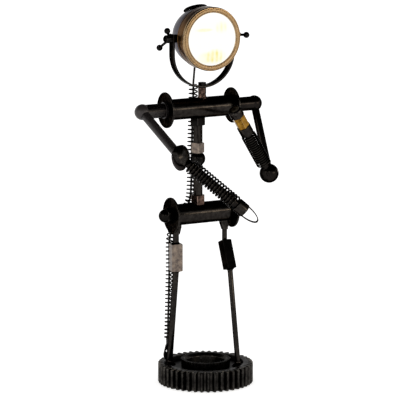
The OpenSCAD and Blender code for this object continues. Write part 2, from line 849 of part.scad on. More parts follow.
module spine_foot_nut() {
    color("#8a5a44") difference() {
        translate([spine_x, body_y, hip_z]) hexagon(foot_nut_af, hip_r + foot_nut_h);
        along_x(-far, hip_z) cylinder(r = hip_r + seat_gap, h = 2 * far);
        translate([spine_x, body_y, hip_z]) cylinder(d = spine_rod_d + 2 * seat_gap, h = far);
    }
}

module spine_rods() {
    color(BLACK) difference() {
        translate([spine_x, body_y, 0]) {
            translate([0, 0, hip_z]) cylinder(d = spine_rod_d, h = ball_z - ball_cut - hip_z);
            translate([0, 0, block_top]) cylinder(d = spine_rod_d, h = shoulder_z - block_top);
        }
        along_x(-far, hip_z) cylinder(r = hip_r + seat_gap, h = 2 * far);
        along_x(-far, shoulder_z) cylinder(r = shoulder_r + seat_gap, h = 2 * far);
    }
}

module spine_ball() {
    color(DARK) translate([spine_x, body_y, ball_z]) intersection() {
        sphere(r = ball_r);
        translate([-ball_r, -ball_r, -ball_cut]) cube([2 * ball_r, 2 * ball_r, 2 * ball_cut]);
    }
}

module spine_block() {
    color(WORN) translate([spine_x, body_y, ball_z + ball_cut]) rotate([0, 0, spine_block_turn])
        square_bar(spine_block_w, block_rise - ball_cut);
}

module spine_collar_nut() {
    low = shoulder_z - shoulder_r - collar_nut_h;
    color(DARK) difference() {
        translate([spine_x, body_y, low]) hexagon(collar_nut_af, collar_nut_h + 6);
        along_x(-far, shoulder_z) cylinder(r = shoulder_r + seat_gap, h = 2 * far);
        translate([spine_x, body_y, low - 1]) cylinder(d = spine_rod_d + 2 * seat_gap, h = far);
    }
}

// Shoulders

module shoulder_tube() {
    color(BLACK)
        tube_x(shoulder_left_x, shoulder_right_x, shoulder_z, shoulder_tube_d, shoulder_bore_d);
}

module shoulder_washers() {
    color(DARK) for (x = [shoulder_left_x - washer_t, shoulder_right_x])
        tube_x(x, x + washer_t, shoulder_z, shoulder_washer_d, axle_d + 2 * running_gap);
}

module neck_post() {
    color(BLACK) difference() {
        union() {
            translate([head_x, body_y, shoulder_z]) cylinder(d = neck_d, h = neck_top - shoulder_z);
            translate([head_x, body_y, shoulder_z])
                cylinder(r1 = neck_d / 2 + shoulder_r / 4, r2 = neck_d / 2, h = shoulder_r + 4);
        }
        along_x(-far, shoulder_z) cylinder(r = shoulder_r + seat_gap, h = 2 * far);
        translate([head_x, body_y, neck_top - 12]) cylinder(d = neck_bolt_d + 2 * seat_gap, h = 20);
    }
}

module neck_bolt() {
    seat = neck_top + 2 * yoke_gap + yoke_t;
    color(DARK) translate([head_x, body_y, 0]) {
        translate([0, 0, neck_top - 12]) cylinder(d = neck_bolt_d, h = seat - neck_top + 12);
        translate([0, 0, seat]) hexagon(neck_hex_af, neck_hex_t);
    }
}

module yoke() {
    color(DARK) difference() {
        translate([pivot.x, pivot.y + yoke_w / 2, arc_z]) rotate([90, 0, 0])
            linear_extrude(yoke_w) difference() {
                union() {
                    circle(r = yoke_out_r, $fn = 128);
                    translate([-yoke_out_r, 0]) square([2 * yoke_out_r, yoke_straight + yoke_top]);
                }
                circle(r = yoke_in_r, $fn = 128);
                translate([-yoke_in_r, 0]) square([2 * yoke_in_r, far]);
            }
        along_x(-2 * far, pivot.z) cylinder(d = stud_d + 2 * running_gap, h = 4 * far);
        translate([pivot.x, pivot.y, neck_top - 1]) cylinder(d = neck_bolt_d + 2 * running_gap, h = 20);
        translate([pivot.x, pivot.y, neck_top + yoke_gap + yoke_t]) cylinder(r = neck_hex_af * 0.65, h = 5);
    }
}

// Headlamp: local +Z points ahead of the pivot, local +Y is up

module on_head() {
    translate(pivot) rotate([90, 0, 0]) children();
}

function bowl_curve(r, depth, steps) = [
    for (i = [0 : steps]) let (a = 90 * i / steps)
        [r * sin(a), bowl_shoulder - depth * cos(a)]
];

module head_bowl() {
    outer = bowl_curve(bowl_r, bowl_depth, 16);
    inner = bowl_curve(bowl_r - bowl_wall, bowl_depth - bowl_wall, 16);
    color("#6d6a66") on_head() difference() {
        rotate_extrude($fn = 96) polygon(concat(
            outer, [[bowl_r, bowl_front], [bowl_r - bowl_wall, bowl_front]],
            [for (i = [len(inner) - 1 : -1 : 0]) inner[i]]));
        translate([0, 0, bowl_back - 1]) cylinder(d = bush_d + 2 * seat_gap, h = 8);
        rotate([0, 90, 0]) translate([0, 0, -bowl_r - 1])
            cylinder(d = stud_d + 2 * seat_gap, h = bowl_d + 2);
        at_vent() translate([0, 0, -10]) cylinder(r = vent_stem_r + seat_gap, h = 20);
        at_gland() translate([0, 0, -6]) cylinder(r = gland_r + seat_gap, h = 12);
        at_screw() translate([0, 0, -8]) cylinder(r = screw_r + seat_gap, h = 10);
    }
}

module head_band() {
    color("#6b4a2b") on_head() difference() {
        rotate_extrude($fn = 96) polygon([
            [bowl_r + seat_gap, band_front - band_depth],
            [bowl_r + band_wall - 0.8, band_front - band_depth],
            [bowl_r + band_wall, band_front - band_depth + 0.8],
            [bowl_r + band_wall, band_front], [bowl_r + seat_gap, band_front]
        ]);
        at_screw() translate([0, 0, -8]) cylinder(r = screw_r + seat_gap, h = 12);
    }
}

module bezel_ring() {
    round_r = 2.6;
    outside = bezel_d / 2;
    color("#b79a72") on_head() rotate_extrude($fn = 96) polygon(concat(
        [[bowl_r + side_gap, band_front], [outside, band_front]],
        [for (i = [0 : 6]) let (a = 15 * i)
            [outside - round_r + round_r * cos(a), bezel_front - round_r + round_r * sin(a)]],
        [[mirror_r + 1, bezel_front], [mirror_r, bezel_front - 1],
            [mirror_r, bezel_front - bezel_lip], [bowl_r + side_gap, bezel_front - bezel_lip]]));
}

module lens() {
    rise = bezel_front - bezel_lip;
    color("#fff2c8") on_head() rotate_extrude($fn = 96) polygon(concat(
        [[0, lens_back], [bowl_r, lens_back], [bowl_r, rise], [mirror_r - side_gap, rise]],
        [for (i = [5 : -1 : 0]) let (r = (mirror_r - side_gap) * i / 6)
            [r, rise + lens_bulge * (1 - pow(i / 6, 2))]]));
}

module lens_gasket() {
    color("#141414") on_head() rotate_extrude($fn = 96) polygon([
        [mirror_r + 1, flange_front], [bowl_r, flange_front], [bowl_r, lens_back],
        [mirror_r + 1, lens_back]
    ]);
}

function mirror_h(r) = mirror_pole + r * r / (4 * focus);

module reflector() {
    steps = 12;
    hole = holder_d / 2 + side_gap;
    function radius(i) = hole + (mirror_r - hole) * i / steps;
    color("#e8e8e8") on_head() rotate_extrude($fn = 96) polygon(concat(
        [for (i = [0 : steps]) [radius(i), mirror_h(radius(i))]],
        [[mirror_r, flange_front], [bowl_r, flange_front], [bowl_r, bowl_front],
            [mirror_r + 0.8, bowl_front]],
        [for (i = [steps : -1 : 0]) [radius(i), mirror_h(radius(i)) - 1.2]]));
}

module lampholder() {
    seat = mirror_h(holder_d / 2 + side_gap) - 1.3;
    color("#202020") on_head() difference() {
        union() {
            translate([0, 0, holder_back]) cylinder(d = holder_d, h = holder_front - holder_back);
            translate([0, 0, seat - 3]) cylinder(d = holder_d + 6, h = 3);
        }
        translate([0, 0, holder_front - 8]) cylinder(d = 13.2, h = 10);
    }
}

module bulb() {
    color("#fff4cf") on_head() {
        translate([0, 0, bulb_centre]) sphere(d = bulb_d);
        translate([0, 0, holder_front - 8 + eps]) cylinder(d = 13, h = bulb_centre - holder_front + 8);
    }
}

// Frames on the bowl's skin, with +Z outwards
module at_vent() {
    r = bowl_radius(-vent_back);
    slant = atan((vent_back + bowl_shoulder) / (bowl_depth * bowl_depth) * bowl_r * bowl_r / r);
    translate([0, r, -vent_back]) rotate([-90 - slant, 0, 0]) children();
}

module at_gland() {
    translate([0, -bowl_radius(-gland_back), -gland_back]) rotate([90, 0, 0]) children();
}

module at_screw() {
    translate([0, -bowl_r - band_wall, band_front - band_depth + 5]) rotate([90, 0, 0]) children();
}

module vent_cap() {
    color(DARK) on_head() at_vent() {
        translate([0, 0, -4]) cylinder(r = vent_stem_r, h = 4 + side_gap + eps);
        translate([0, 0, side_gap]) cylinder(d1 = vent_d, d2 = vent_d - 2, h = vent_t);
    }
}

module lead_gland() {
    color("#141414") on_head() at_gland() difference() {
        union() {
            translate([0, 0, -4]) cylinder(r = gland_r, h = 8);
            translate([0, 0, 2.8]) cylinder(r1 = gland_r + 1.6, r2 = gland_r, h = 3);
        }
        translate([0, 0, -6]) cylinder(d = lead_d + 2 * seat_gap, h = 20);
    }
}

module bezel_screw() {
    color("#8c8375") on_head() at_screw() {
        translate([0, 0, -band_wall - 3]) cylinder(r = screw_r, h = band_wall + 3.2, $fn = 24);
        translate([0, 0, 0.15]) cylinder(r = 2 * screw_r, h = 1.2, $fn = 32);
    }
}

module pivot_studs() {
    head_r = stud_shoulder_d / 2;
    narrow = (bowl_r - bowl_wall)
        * sqrt(1 - pow((head_r + bowl_shoulder) / (bowl_depth - bowl_wall), 2));
    inner = sqrt(narrow * narrow - head_r * head_r) - seat_gap;
    color(DARK) translate(pivot) for (side = [-1, 1]) rotate([0, 90 * side, 0]) {
        translate([0, 0, inner - 2.5]) cylinder(d = stud_shoulder_d - 1, h = 2.5);
        translate([0, 0, inner - 1]) cylinder(d = stud_d, h = stud_end - inner + 1);
        translate([0, 0, bowl_r + seat_gap])
            cylinder(d = stud_shoulder_d, h = yoke_in_r - side_gap - bowl_r - seat_gap);
    }
}

module switch_bush() {
    body_w = 14;
    inside = bowl_inside_h(body_w * sqrt(0.5)) + side_gap;
    color("#9a958c") on_head() difference() {
        union() {
            translate([0, 0, bush_end]) cylinder(d = bush_d, h = inside - bush_end + 1);
            translate([-body_w / 2, -body_w / 2, inside]) cube([body_w, body_w, 12]);
            translate([0, 0, bowl_back - 2.6]) hexagon(bush_d + 4, 2.5);
        }
        translate([0, 0, bush_end - 1]) cylinder(d = bush_d * 0.7, h = bowl_back - bush_end + 4);
        translate([-bush_d, 0, toggle_z]) rotate([0, 90, 0])
            cylinder(d = toggle_pin_d + 2 * running_gap, h = 2 * bush_d, $fn = 24);
    }
}

module switch_lever() {
    bore_r = bush_d * 0.35;
    color("#c9c4ba") on_head() translate([0, 0, toggle_z]) rotate([toggle_throw, 0, 0]) {
        sphere(r = bore_r - side_gap, $fn = 32);
        translate([0.5 - bush_d / 2, 0, 0]) rotate([0, 90, 0])
            cylinder(d = toggle_pin_d, h = bush_d - 1, $fn = 24);
        translate([0, 0, -16]) cylinder(r1 = 2.1, r2 = 1.4, h = 16, $fn = 32);
        translate([0, 0, -16]) sphere(r = 2.4, $fn = 32);
    }
}

// Wing nut on a stud, local +Z away from the lamp, arms along local +X and -X
module wing_nut() {
    hub_from = yoke_out_r + side_gap;
    ball_at = [wing_reach, 0, yoke_out_r + wing_out];
    color(DARK) difference() {
        union() {
            translate([0, 0, hub_from]) cylinder(d1 = wing_hub_d, d2 = wing_hub_d - 2, h = wing_hub_h);
            for (side = [-1, 1]) {
                tip = [side * ball_at.x, 0, ball_at.z];
                rod([side * (stud_d / 2 + 1), 0, hub_from + wing_hub_h / 2], tip, wing_arm_d);
                translate(tip) sphere(d = wing_ball_d);
            }
        }
        translate([0, 0, hub_from - 1]) cylinder(d = stud_d + 2 * running_gap, h = far);
    }
}

module left_wing_nut() {
    aligned(pivot, [-1, 0, 0], [0, -sin(left_wing_turn), cos(left_wing_turn)]) wing_nut();
}

module right_wing_nut() {
    aligned(pivot, [1, 0, 0], [0, -sin(right_wing_turn), cos(right_wing_turn)]) wing_nut();
}

// Arms

// Axle in the shoulder tube, from its flange to the end ball
module shoulder_axle(end_x, side, ball_x) {
    flange_x = end_x - side * (side_gap + flange_t);
    collar_x = end_x + side * (washer_t + side_gap);
    along_x(min(flange_x, flange_x + side * flange_t), shoulder_z) cylinder(d = flange_d, h = flange_t);
    along_x(min(collar_x, collar_x + side * collar_t), shoulder_z) cylinder(d = collar_d, h = collar_t);
    along_x(min(flange_x, ball_x), shoulder_z) cylinder(d = axle_d, h = abs(ball_x - flange_x));
    along_x(ball_x, shoulder_z) sphere(d = arm_ball_d);
}

module at_left_elbow() {
    aligned(left_elbow, left_axis, [0, 0, 1]) children();
}

module at_right_elbow() {
    aligned(right_elbow, right_axis, right_upper_dir) children();
}

module left_upper_arm() {
    color(BLACK) {
        shoulder_axle(shoulder_left_x, -1, left_ball_x);
        difference() {
            rod(left_shoulder, left_elbow + 20 * left_upper_dir, left_upper_d);
            at_left_elbow() translate([0, 0, -washer_t]) cylinder(r = far, h = far);
        }
        at_left_elbow() {
            translate([-elbow_washer_drop, 0, -washer_t - eps])
                cylinder(d = elbow_washer_d, h = washer_t + eps);
            translate([0, 0, -1]) cylinder(d = elbow_stud_d, h = knob_h);
        }
    }
}

module left_elbow_knob() {
    dome_r = (knob_d * knob_d / 4 + knob_dome * knob_dome) / (2 * knob_dome);
    color(DARK) at_left_elbow() difference() {
        intersection() {
            translate([0, 0, side_gap]) cylinder(d = knob_d, h = knob_h + knob_dome);
            translate([0, 0, side_gap + knob_h + knob_dome - dome_r]) sphere(r = dome_r, $fn = 128);
        }
        translate([0, 0, -1]) cylinder(d = elbow_stud_d + 2 * running_gap, h = knob_h + 0.5);
    }
}

module at_left_forearm() {
    aligned(left_elbow, left_fore_dir, left_axis) children();
}

module at_right_forearm() {
    aligned(right_elbow, right_fore_dir, right_axis) children();
}

module left_forearm_rod() {
    sweep_r = elbow_washer_d / 2 + elbow_washer_drop + 0.6;
    color(BLACK) difference() {
        at_left_forearm() translate([0, 0, 8]) cylinder(d = fore_rod_d, h = left_sleeve_to - 11);
        at_left_elbow() {
            translate([0, 0, -far]) cylinder(d = knob_d + 2 * seat_gap, h = 2 * far);
            translate([0, 0, -far]) cylinder(r = sweep_r, h = far + 0.4);
        }
    }
}

module left_forearm_spring() {
    color("#1f1d1b") at_left_forearm() tube(left_line, fore_axes(left_line), left_wire_d, 5);
}

module left_hand_sleeve() {
    color(BLACK) at_left_forearm() translate([0, 0, left_sleeve_from]) difference() {
        cylinder(d = left_sleeve_d, h = left_sleeve_l);
        translate([0, 0, -eps]) cylinder(d = fore_rod_d + 2 * seat_gap, h = left_sleeve_l - 3 + 2 * eps);
    }
}

function half_oval(reach, w) = [for (a = [-90 : 7.5 : 90]) [w / 2 * sin(a), reach * cos(a)]];

module left_hand_loop() {
    outer = half_oval(loop_reach, loop_w);
    inner = half_oval(loop_reach - loop_t * 1.2, loop_w - 2 * loop_t);
    color(DARK) aligned(left_elbow + left_sleeve_to * left_fore_dir, left_loop_face, left_loop_side)
        translate([0, 0, -strap_w / 2]) linear_extrude(strap_w)
            polygon(concat(outer, [for (i = [len(inner) - 1 : -1 : 0]) inner[i]]));
}

module right_upper_arm() {
    slot = tongue_t / 2 + side_gap;
    pin_r = elbow_pin_d / 2 + seat_gap;
    color(BLACK) {
        shoulder_axle(shoulder_right_x, 1, right_ball_x);
        difference() {
            union() {
                rod(right_shoulder, right_elbow, right_upper_d);
                translate(right_elbow) sphere(d = elbow_ball_d);
            }
            at_right_elbow() {
                translate([0, 0, -slot]) cylinder(r = elbow_ball_r + 0.4, h = 2 * slot);
                translate([0, 0, -far]) cylinder(r = pin_r, h = 2 * far, $fn = 32);
            }
        }
    }
}

module right_elbow_pin() {
    reach = sqrt(elbow_ball_r * elbow_ball_r - elbow_pin_d * elbow_pin_d / 4);
    color("#8c8375") at_right_elbow() translate([0, 0, -reach]) cylinder(d = elbow_pin_d, h = 2 * reach);
}

module right_forearm_rod() {
    shank = elbow_ball_r + 0.65;
    neck_t = tongue_t - 1;
    color(BLACK) difference() {
        union() {
            intersection() {
                translate(right_elbow) sphere(d = elbow_ball_d);
                at_right_elbow() translate([0, 0, -tongue_t / 2]) cylinder(r = far, h = tongue_t);
            }
            at_right_forearm() {
                translate([-neck_t / 2, -fore_rod_r + 0.5, elbow_ball_r - 6])
                    cube([neck_t, fore_rod_d - 1, 8]);
                translate([0, 0, shank]) cylinder(d = fore_rod_d, h = right_cap_from + 8 - shank);
            }
        }
        at_right_elbow() translate([0, 0, -far]) cylinder(d = elbow_pin_d + 2 * running_gap, h = 2 * far);
    }
}

module right_forearm_spring() {
    color("#1f1d1b") at_right_forearm() tube(right_line, fore_axes(right_line), right_wire_d, 5);
}

module right_hand_sleeves() {
    bore = fore_rod_d + 2 * seat_gap;
    round_r = 5;
    color(BLACK) at_right_forearm() {
        translate([0, 0, right_sleeve_from]) difference() {
            cylinder(d = right_sleeve_d, h = right_sleeve_l);
            translate([0, 0, -eps]) cylinder(d = bore, h = right_sleeve_l + 1);
        }
        translate([0, 0, right_cap_from]) difference() {
            rotate_extrude() polygon(concat(
                [[0, 0], [right_sleeve_d / 2, 0]],
                [for (i = [0 : 6]) let (a = 15 * i)
                    [right_sleeve_d / 2 - round_r + round_r * cos(a),
                        hand_cap_l - round_r + round_r * sin(a)]],
                [[0, hand_cap_l]]));
            translate([0, 0, -eps]) cylinder(d = bore, h = 8 + 2 * eps);
        }
    }
}

module right_hand_hex() {
    color("#b88a2e") at_right_forearm() translate([0, 0, right_hex_from]) difference() {
        hexagon(hand_hex_af, hand_hex_l);
        translate([0, 0, -1]) cylinder(d = fore_rod_d + 2 * seat_gap, h = hand_hex_l + 2);
    }
}

// Cable spring, its lead and the lug at its foot

module cable_spring_upper() {
    color("#1f1d1b") tube(upper_line, upper_axes, cable_wire_d, 5);
}

module cable_spring_lower() {
    color("#1f1d1b") tube(lower_line, lower_axes, cable_wire_d, 5);
}

module lead_in_springs() {
    route = concat([spring_top], curve(concat([spring_top - [0, 0, 3]],
        [for (i = [1 : len(cable_route) - 2]) cable_route[i]],
        [relief_at + [0, 0, relief_top + 3]]), 4), [relief_at + [0, 0, relief_top]]);
    color("#101010") tube(route, [for (p = route) [0, 1, 0]], lead_d, 8);
}

module spring_anchor_lug() {
    top_r = 4.5;
    color(BLACK) translate([lug_x, lug_y + lug_t / 2, gear_h]) rotate([90, 0, 0])
        linear_extrude(lug_t) difference() {
            hull() {
                translate([-lug_w / 2, 0]) square([lug_w, 4]);
                translate([0, lug_w * 0.9]) circle(d = lug_w, $fn = 32);
                translate([2, 24]) circle(r = top_r, $fn = 32);
            }
            translate([0, lug_eye_z]) circle(d = lug_eye_d, $fn = 32);
        }
}

module strain_relief() {
    color("#141414") translate(relief_at) translate([0, 0, relief_end])
        cylinder(d1 = lead_d + 1.4, d2 = relief_top_d, h = relief_top - relief_end);
}

module mains_lead() {
    route = concat(
        [for (p = lead_route) relief_at + p[0] * away + [0, 0, p[1]]],
        [relief_at + lead_run * away + [0, 0, lead_r]]);
    color("#101010") tube(route, [for (p = route) along], lead_d, 8);
}

module lead_coil() {
    color("#101010") tube(coil_line, [for (p = coil_line) [0, 0, 1]], lead_d, 5);
}

module plug() {
    height = 2 * plug_at.z;
    face = plug_relief_l + plug_l;
    color("#161616") aligned(plug_at, plug_dir, [0, 0, 1]) {
        cylinder(d1 = lead_d + 1.5, d2 = height - 2, h = plug_relief_l);
        translate([-height / 2, -plug_w / 2, plug_relief_l]) cube([height, plug_w, plug_l]);
        for (y = [-blade_spacing / 2, blade_spacing / 2])
            translate([-blade_w / 2, y - blade_t / 2, face - 1]) cube([blade_w, blade_t, blade_l + 1]);
    }
}

// The lead hangs straight from the gland's mouth to the spring's, and is held upright in both
module head_lead_upper() {
    route = [head_lead_top + [0, 0, 6.5], head_lead_top, (head_lead_top * 3 + head_lead_foot) / 4,
        (head_lead_top + head_lead_foot) / 2];
    color("#101010") tube(route, [for (p = route) [1, 0, 0]], lead_d, 8);
}

module head_lead_lower() {
    route = [(head_lead_top + head_lead_foot) / 2, (head_lead_top + head_lead_foot * 3) / 4,
        head_lead_foot, spring_top];
    color("#101010") tube(route, [for (p = route) [1, 0, 0]], lead_d, 8);
}

base_gear();
dog_ring();
left_shin();
left_knee_block();
left_thigh();
right_shin();
right_knee_block();
right_thigh();
hip_tube();
hip_washers();
hip_bolt();
hip_cap_nut();
spine_foot_nut();
spine_rods();
spine_ball();
spine_block();
spine_collar_nut();
shoulder_tube();
shoulder_washers();
neck_post();
neck_bolt();
cable_spring_upper();
cable_spring_lower();
spring_anchor_lug();
lead_in_springs();
strain_relief();
mains_lead();
lead_coil();
plug();
yoke();
head_bowl();
head_band();
bezel_ring();
lens();
lens_gasket();
reflector();
lampholder();
bulb();
vent_cap();
pivot_studs();
bezel_screw();
lead_gland();
switch_bush();
switch_lever();
head_lead_upper();
head_lead_lower();
left_wing_nut();
right_wing_nut();
left_upper_arm();
left_elbow_knob();
left_forearm_rod();
left_forearm_spring();
left_hand_sleeve();
left_hand_loop();
right_upper_arm();
right_elbow_pin();
right_forearm_rod();
right_forearm_spring();
right_hand_sleeves();
right_hand_hex();
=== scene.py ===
# %% [markdown]
# # A desk lamp built like a robot
#
# The real lamp is put together from machine parts: a gear for a foot, rod and square
# bar for legs, tubes for hips and shoulders, coil springs round the forearms and a small
# headlamp for a head. The frame was drawn in CAD; this script gives each part the rounded
# edges, wear and finish of the real one. Sizes below are in millimetres, in the CAD frame,
# and each mesh is scaled to metres when it is made.

# %% Load the frame
import math

import bmesh
import bpy
import numpy as np
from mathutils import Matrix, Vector


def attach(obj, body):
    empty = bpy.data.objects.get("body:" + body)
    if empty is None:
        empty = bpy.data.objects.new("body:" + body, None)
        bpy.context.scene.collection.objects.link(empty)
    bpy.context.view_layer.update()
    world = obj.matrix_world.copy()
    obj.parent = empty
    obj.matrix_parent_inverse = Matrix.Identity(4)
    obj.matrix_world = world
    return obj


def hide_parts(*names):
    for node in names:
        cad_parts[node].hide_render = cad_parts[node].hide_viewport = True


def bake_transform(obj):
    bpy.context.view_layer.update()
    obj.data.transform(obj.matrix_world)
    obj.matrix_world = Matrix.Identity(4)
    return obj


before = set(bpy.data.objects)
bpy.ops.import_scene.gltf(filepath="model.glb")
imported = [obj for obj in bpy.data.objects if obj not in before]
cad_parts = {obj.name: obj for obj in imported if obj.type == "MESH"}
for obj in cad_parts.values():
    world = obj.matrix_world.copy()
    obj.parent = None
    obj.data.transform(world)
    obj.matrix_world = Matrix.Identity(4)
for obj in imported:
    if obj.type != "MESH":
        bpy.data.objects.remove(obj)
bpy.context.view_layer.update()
MM = 0.001

# %% [markdown]
# ## Camera
#
# The lamp was photographed from its front left, a little above the middle, with a long
# lens, so that upright edges stay parallel. A long lens far away gives the same look.

# %% Camera
CAMERA_AT = (-2.239, -4.212, 1.214)
LOOK_AT = (-0.0083, 0.0044, 0.3127)
LENS = 260.4

camera = bpy.data.objects.new("camera", bpy.data.cameras.new("camera"))
bpy.context.scene.collection.objects.link(camera)
camera.location = CAMERA_AT
camera.rotation_euler = (Vector(LOOK_AT) - Vector(CAMERA_AT)).to_track_quat("-Z", "Y").to_euler()
camera.data.lens = LENS
camera.data.sensor_width = 36
camera.data.clip_end = 100
bpy.context.scene.camera = camera
print("camera:", LENS, "mm lens,", round((Vector(LOOK_AT) - Vector(CAMERA_AT)).length, 2), "m away")

# %% [markdown]
# ## Surfaces from arrays
#
# Most parts of this lamp were turned, drawn or wound, so three surfaces are enough: a
# profile turned round an axis, a bar with flats, and a section carried along a path. Each
# is a grid of points, worked out for all points at once. A third value goes with each
# point: 1 on an edge that hands and polishing have worn, 0 elsewhere.


# %% Helpers for points and places
def unit(v):
    """Vectors of length one in the same directions."""
    v = np.asarray(v, float)
    return v / np.linalg.norm(v, axis=-1, keepdims=True)


def place(origin, axis=(0, 0, 1), toward=None):
    """A frame at origin whose third axis is axis, and whose first is as near toward as it gets."""
    z = unit(axis)
    if toward is None:
        toward = (1, 0, 0) if abs(z[0]) < 0.9 else (0, 1, 0)
    toward = np.asarray(toward, float)
    x = unit(toward - (toward @ z) * z)
    return np.asarray(origin, float), np.stack([x, np.cross(z, x), z], axis=1)


def put(points, at):
    """Points of a place's own frame, in the lamp's frame."""
    origin, turn = at
    return points @ turn.T + origin


def skin(grid, worn, close_rows=True):
    """Four-sided faces between neighbours of a (rows, columns, 3) grid that closes round its columns."""
    rows, columns = grid.shape[:2]
    index = np.arange(rows * columns).reshape(rows, columns)
    index = np.vstack([index, index[:1]]) if close_rows else index
    index = np.hstack([index, index[:, :1]])
    faces = np.stack([index[:-1, :-1], index[:-1, 1:], index[1:, 1:], index[1:, :-1]], axis=-1)
    worn = np.broadcast_to(worn, (rows, columns))
    return grid.reshape(-1, 3), faces.reshape(-1, 4), worn.reshape(-1)


def eased(corners, radius=0.6, steps=4):
    """Rounds a profile's corners: an arc (1-t)^2 a + 2t(1-t) p + t^2 b from a point a on the edge before
    corner p to a point b on the edge after it. The third column is wear, 1 on the arcs of outer corners."""
    p = np.asarray(corners, float)
    back, ahead = np.roll(p, 1, 0) - p, np.roll(p, -1, 0) - p
    on_axis = (np.abs(p[:, 0]) < 1e-9)[:, None]

    def start(edge):
        length = np.linalg.norm(edge, axis=1, keepdims=True)
        return np.where(on_axis, 0, np.minimum(radius / np.maximum(length, 1e-9), 0.45))

    a, b = p + back * start(back), p + ahead * start(ahead)
    t = np.linspace(0, 1, steps)[:, None, None]
    arc = (1 - t) ** 2 * a + 2 * t * (1 - t) * p + t**2 * b
    area = np.sum(p[:, 0] * np.roll(p[:, 1], -1) - np.roll(p[:, 0], -1) * p[:, 1])
    bend = -(back[:, 0] * ahead[:, 1] - back[:, 1] * ahead[:, 0]) * np.sign(area)
    outer = (bend > 0) & ~on_axis[:, 0]
    wear = outer[None] * np.where((t[:, :, 0] > 0.01) & (t[:, :, 0] < 0.99), 1.0, 0.35)
    arc = np.concatenate([arc, wear[..., None]], axis=-1)
    return arc.transpose(1, 0, 2).reshape(-1, 3)


def turned(profile, at, sides=96):
    """Surface of revolution: each (radius, height) of a closed profile is carried round the place's axis."""
    profile = np.asarray(profile, float)
    wear = profile[:, 2] if profile.shape[1] > 2 else np.zeros(len(profile))
    turn = np.linspace(0, 2 * np.pi, sides, endpoint=False)
    r, h = profile[:, 0, None], profile[:, 1, None]
    grid = np.stack([r * np.cos(turn), r * np.sin(turn), h + 0 * turn], axis=-1)
    return skin(put(grid, at), wear[:, None])


def disc(r, h0, h1, bore=0.0, ease=0.6):
    """Profile of a rod, washer or tube: a rectangle from the bore to radius r, with eased corners."""
    return eased([(bore, h0), (r, h0), (r, h1), (bore, h1)], ease)


def ball(r, h=0.0, steps=40):
    """Profile of a ball of radius r centred at height h."""
    a = np.linspace(-np.pi / 2, np.pi / 2, steps)
    return np.stack([r * np.cos(a) * (np.abs(a) < np.pi / 2 - 1e-9), h + r * np.sin(a)], axis=1)


def faceted(flats, across, h0, h1, at, corner=0.0, bore=0.0, trim=1.10, ease=0.5, sides=192):
    """A bar with flats: its radius is the smaller of the flats' own, across / 2 / cos(angle from a flat's
    middle), and a turned limit that bevels the ends and blunts the corners at trim times across / 2."""
    turn = np.linspace(0, 2 * np.pi, sides, endpoint=False)
    step = 2 * np.pi / flats
    flat = across / 2 / np.cos((turn - corner) % step - step / 2)
    full = across / 2 * trim
    edge = across / 2 * 0.97
    ends = np.linspace(0, 1, 6)
    bevel = full - edge
    h = np.concatenate([h0 + ends * bevel * ease, h1 - ends[::-1] * bevel * ease])
    limit = np.concatenate([edge + ends**0.7 * bevel, edge + ends[::-1] ** 0.7 * bevel])
    r = np.minimum(flat[None], limit[:, None])
    wear = np.clip((flat[None] - limit[:, None]) / 0.25, 0, 1) * 0.9
    h = np.concatenate([[h0], h, [h1]])
    r = np.concatenate([np.full((1, sides), bore), r, np.full((1, sides), bore)])
    wear = np.concatenate([np.zeros((1, sides)), wear, np.zeros((1, sides))])
    grid = np.stack([r * np.cos(turn), r * np.sin(turn), h[:, None] + 0 * turn], axis=-1)
    return skin(put(grid, at), wear)


def carried(path, radius, toward, sides=12, section=None, wear=0.0):
    """A section, a circle unless one is given, carried along a path: n is toward made square to the path's
    direction t, b = t x n, and each point is path + radius (x n + y b). The ends close on the path."""
    path = np.asarray(path, float)
    t = unit(np.gradient(path, axis=0))
    toward = np.broadcast_to(np.asarray(toward, float), path.shape)
    n = unit(toward - np.sum(toward * t, axis=1, keepdims=True) * t)
    b = np.cross(t, n)
    if section is None:
        turn = np.linspace(0, 2 * np.pi, sides, endpoint=False)
        section = np.stack([np.cos(turn), np.sin(turn)], axis=1)
    radius = np.broadcast_to(np.asarray(radius, float), len(path))[:, None, None]
    x, y = section[None, :, 0, None], section[None, :, 1, None]
    rings = path[:, None] + radius * (x * n[:, None] + y * b[:, None])
    ends = [np.repeat(path[k][None, None], len(section), axis=1) for k in (0, -1)]
    return skin(np.concatenate([ends[0], rings, ends[1]]), wear, close_rows=False)


# %% Helper that makes a piece
materials = {}
made = []


def make(name, surfaces, body, finish, replaces=(), smooth=35):
    """One mesh from surfaces given in millimetres. Doubled points are merged, so poles and seams close,
    and faces are turned outwards. The piece rides on a CAD body and stands for the nodes it replaces."""
    points, faces, wear, first = [], [], [], 0
    for p, f, w in surfaces:
        points.append(p * MM)
        faces.append(f + first)
        wear.append(w)
        first += len(p)
    mesh = bpy.data.meshes.new(name)
    mesh.from_pydata(np.concatenate(points).tolist(), [], np.concatenate(faces).tolist())
    wear_data = mesh.attributes.new("wear", "FLOAT", "POINT").data
    wear_data.foreach_set("value", np.concatenate(wear).astype(np.float32))
    bm = bmesh.new()
    bm.from_mesh(mesh)
    bmesh.ops.remove_doubles(bm, verts=bm.verts, dist=2e-6)
    bmesh.ops.recalc_face_normals(bm, faces=bm.faces)
    bm.to_mesh(mesh)
    bm.free()
    mesh.polygons.foreach_set("use_smooth", np.ones(len(mesh.polygons), bool))
    mesh.set_sharp_from_angle(angle=math.radians(smooth))
    mesh.materials.append(materials[finish])
    piece = bpy.data.objects.new(name, mesh)
    bpy.context.scene.collection.objects.link(piece)
    if body:
        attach(piece, body)
    if replaces:
        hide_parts(*([replaces] if isinstance(replaces, str) else replaces))
    made.append((name, len(mesh.polygons)))
    return piece


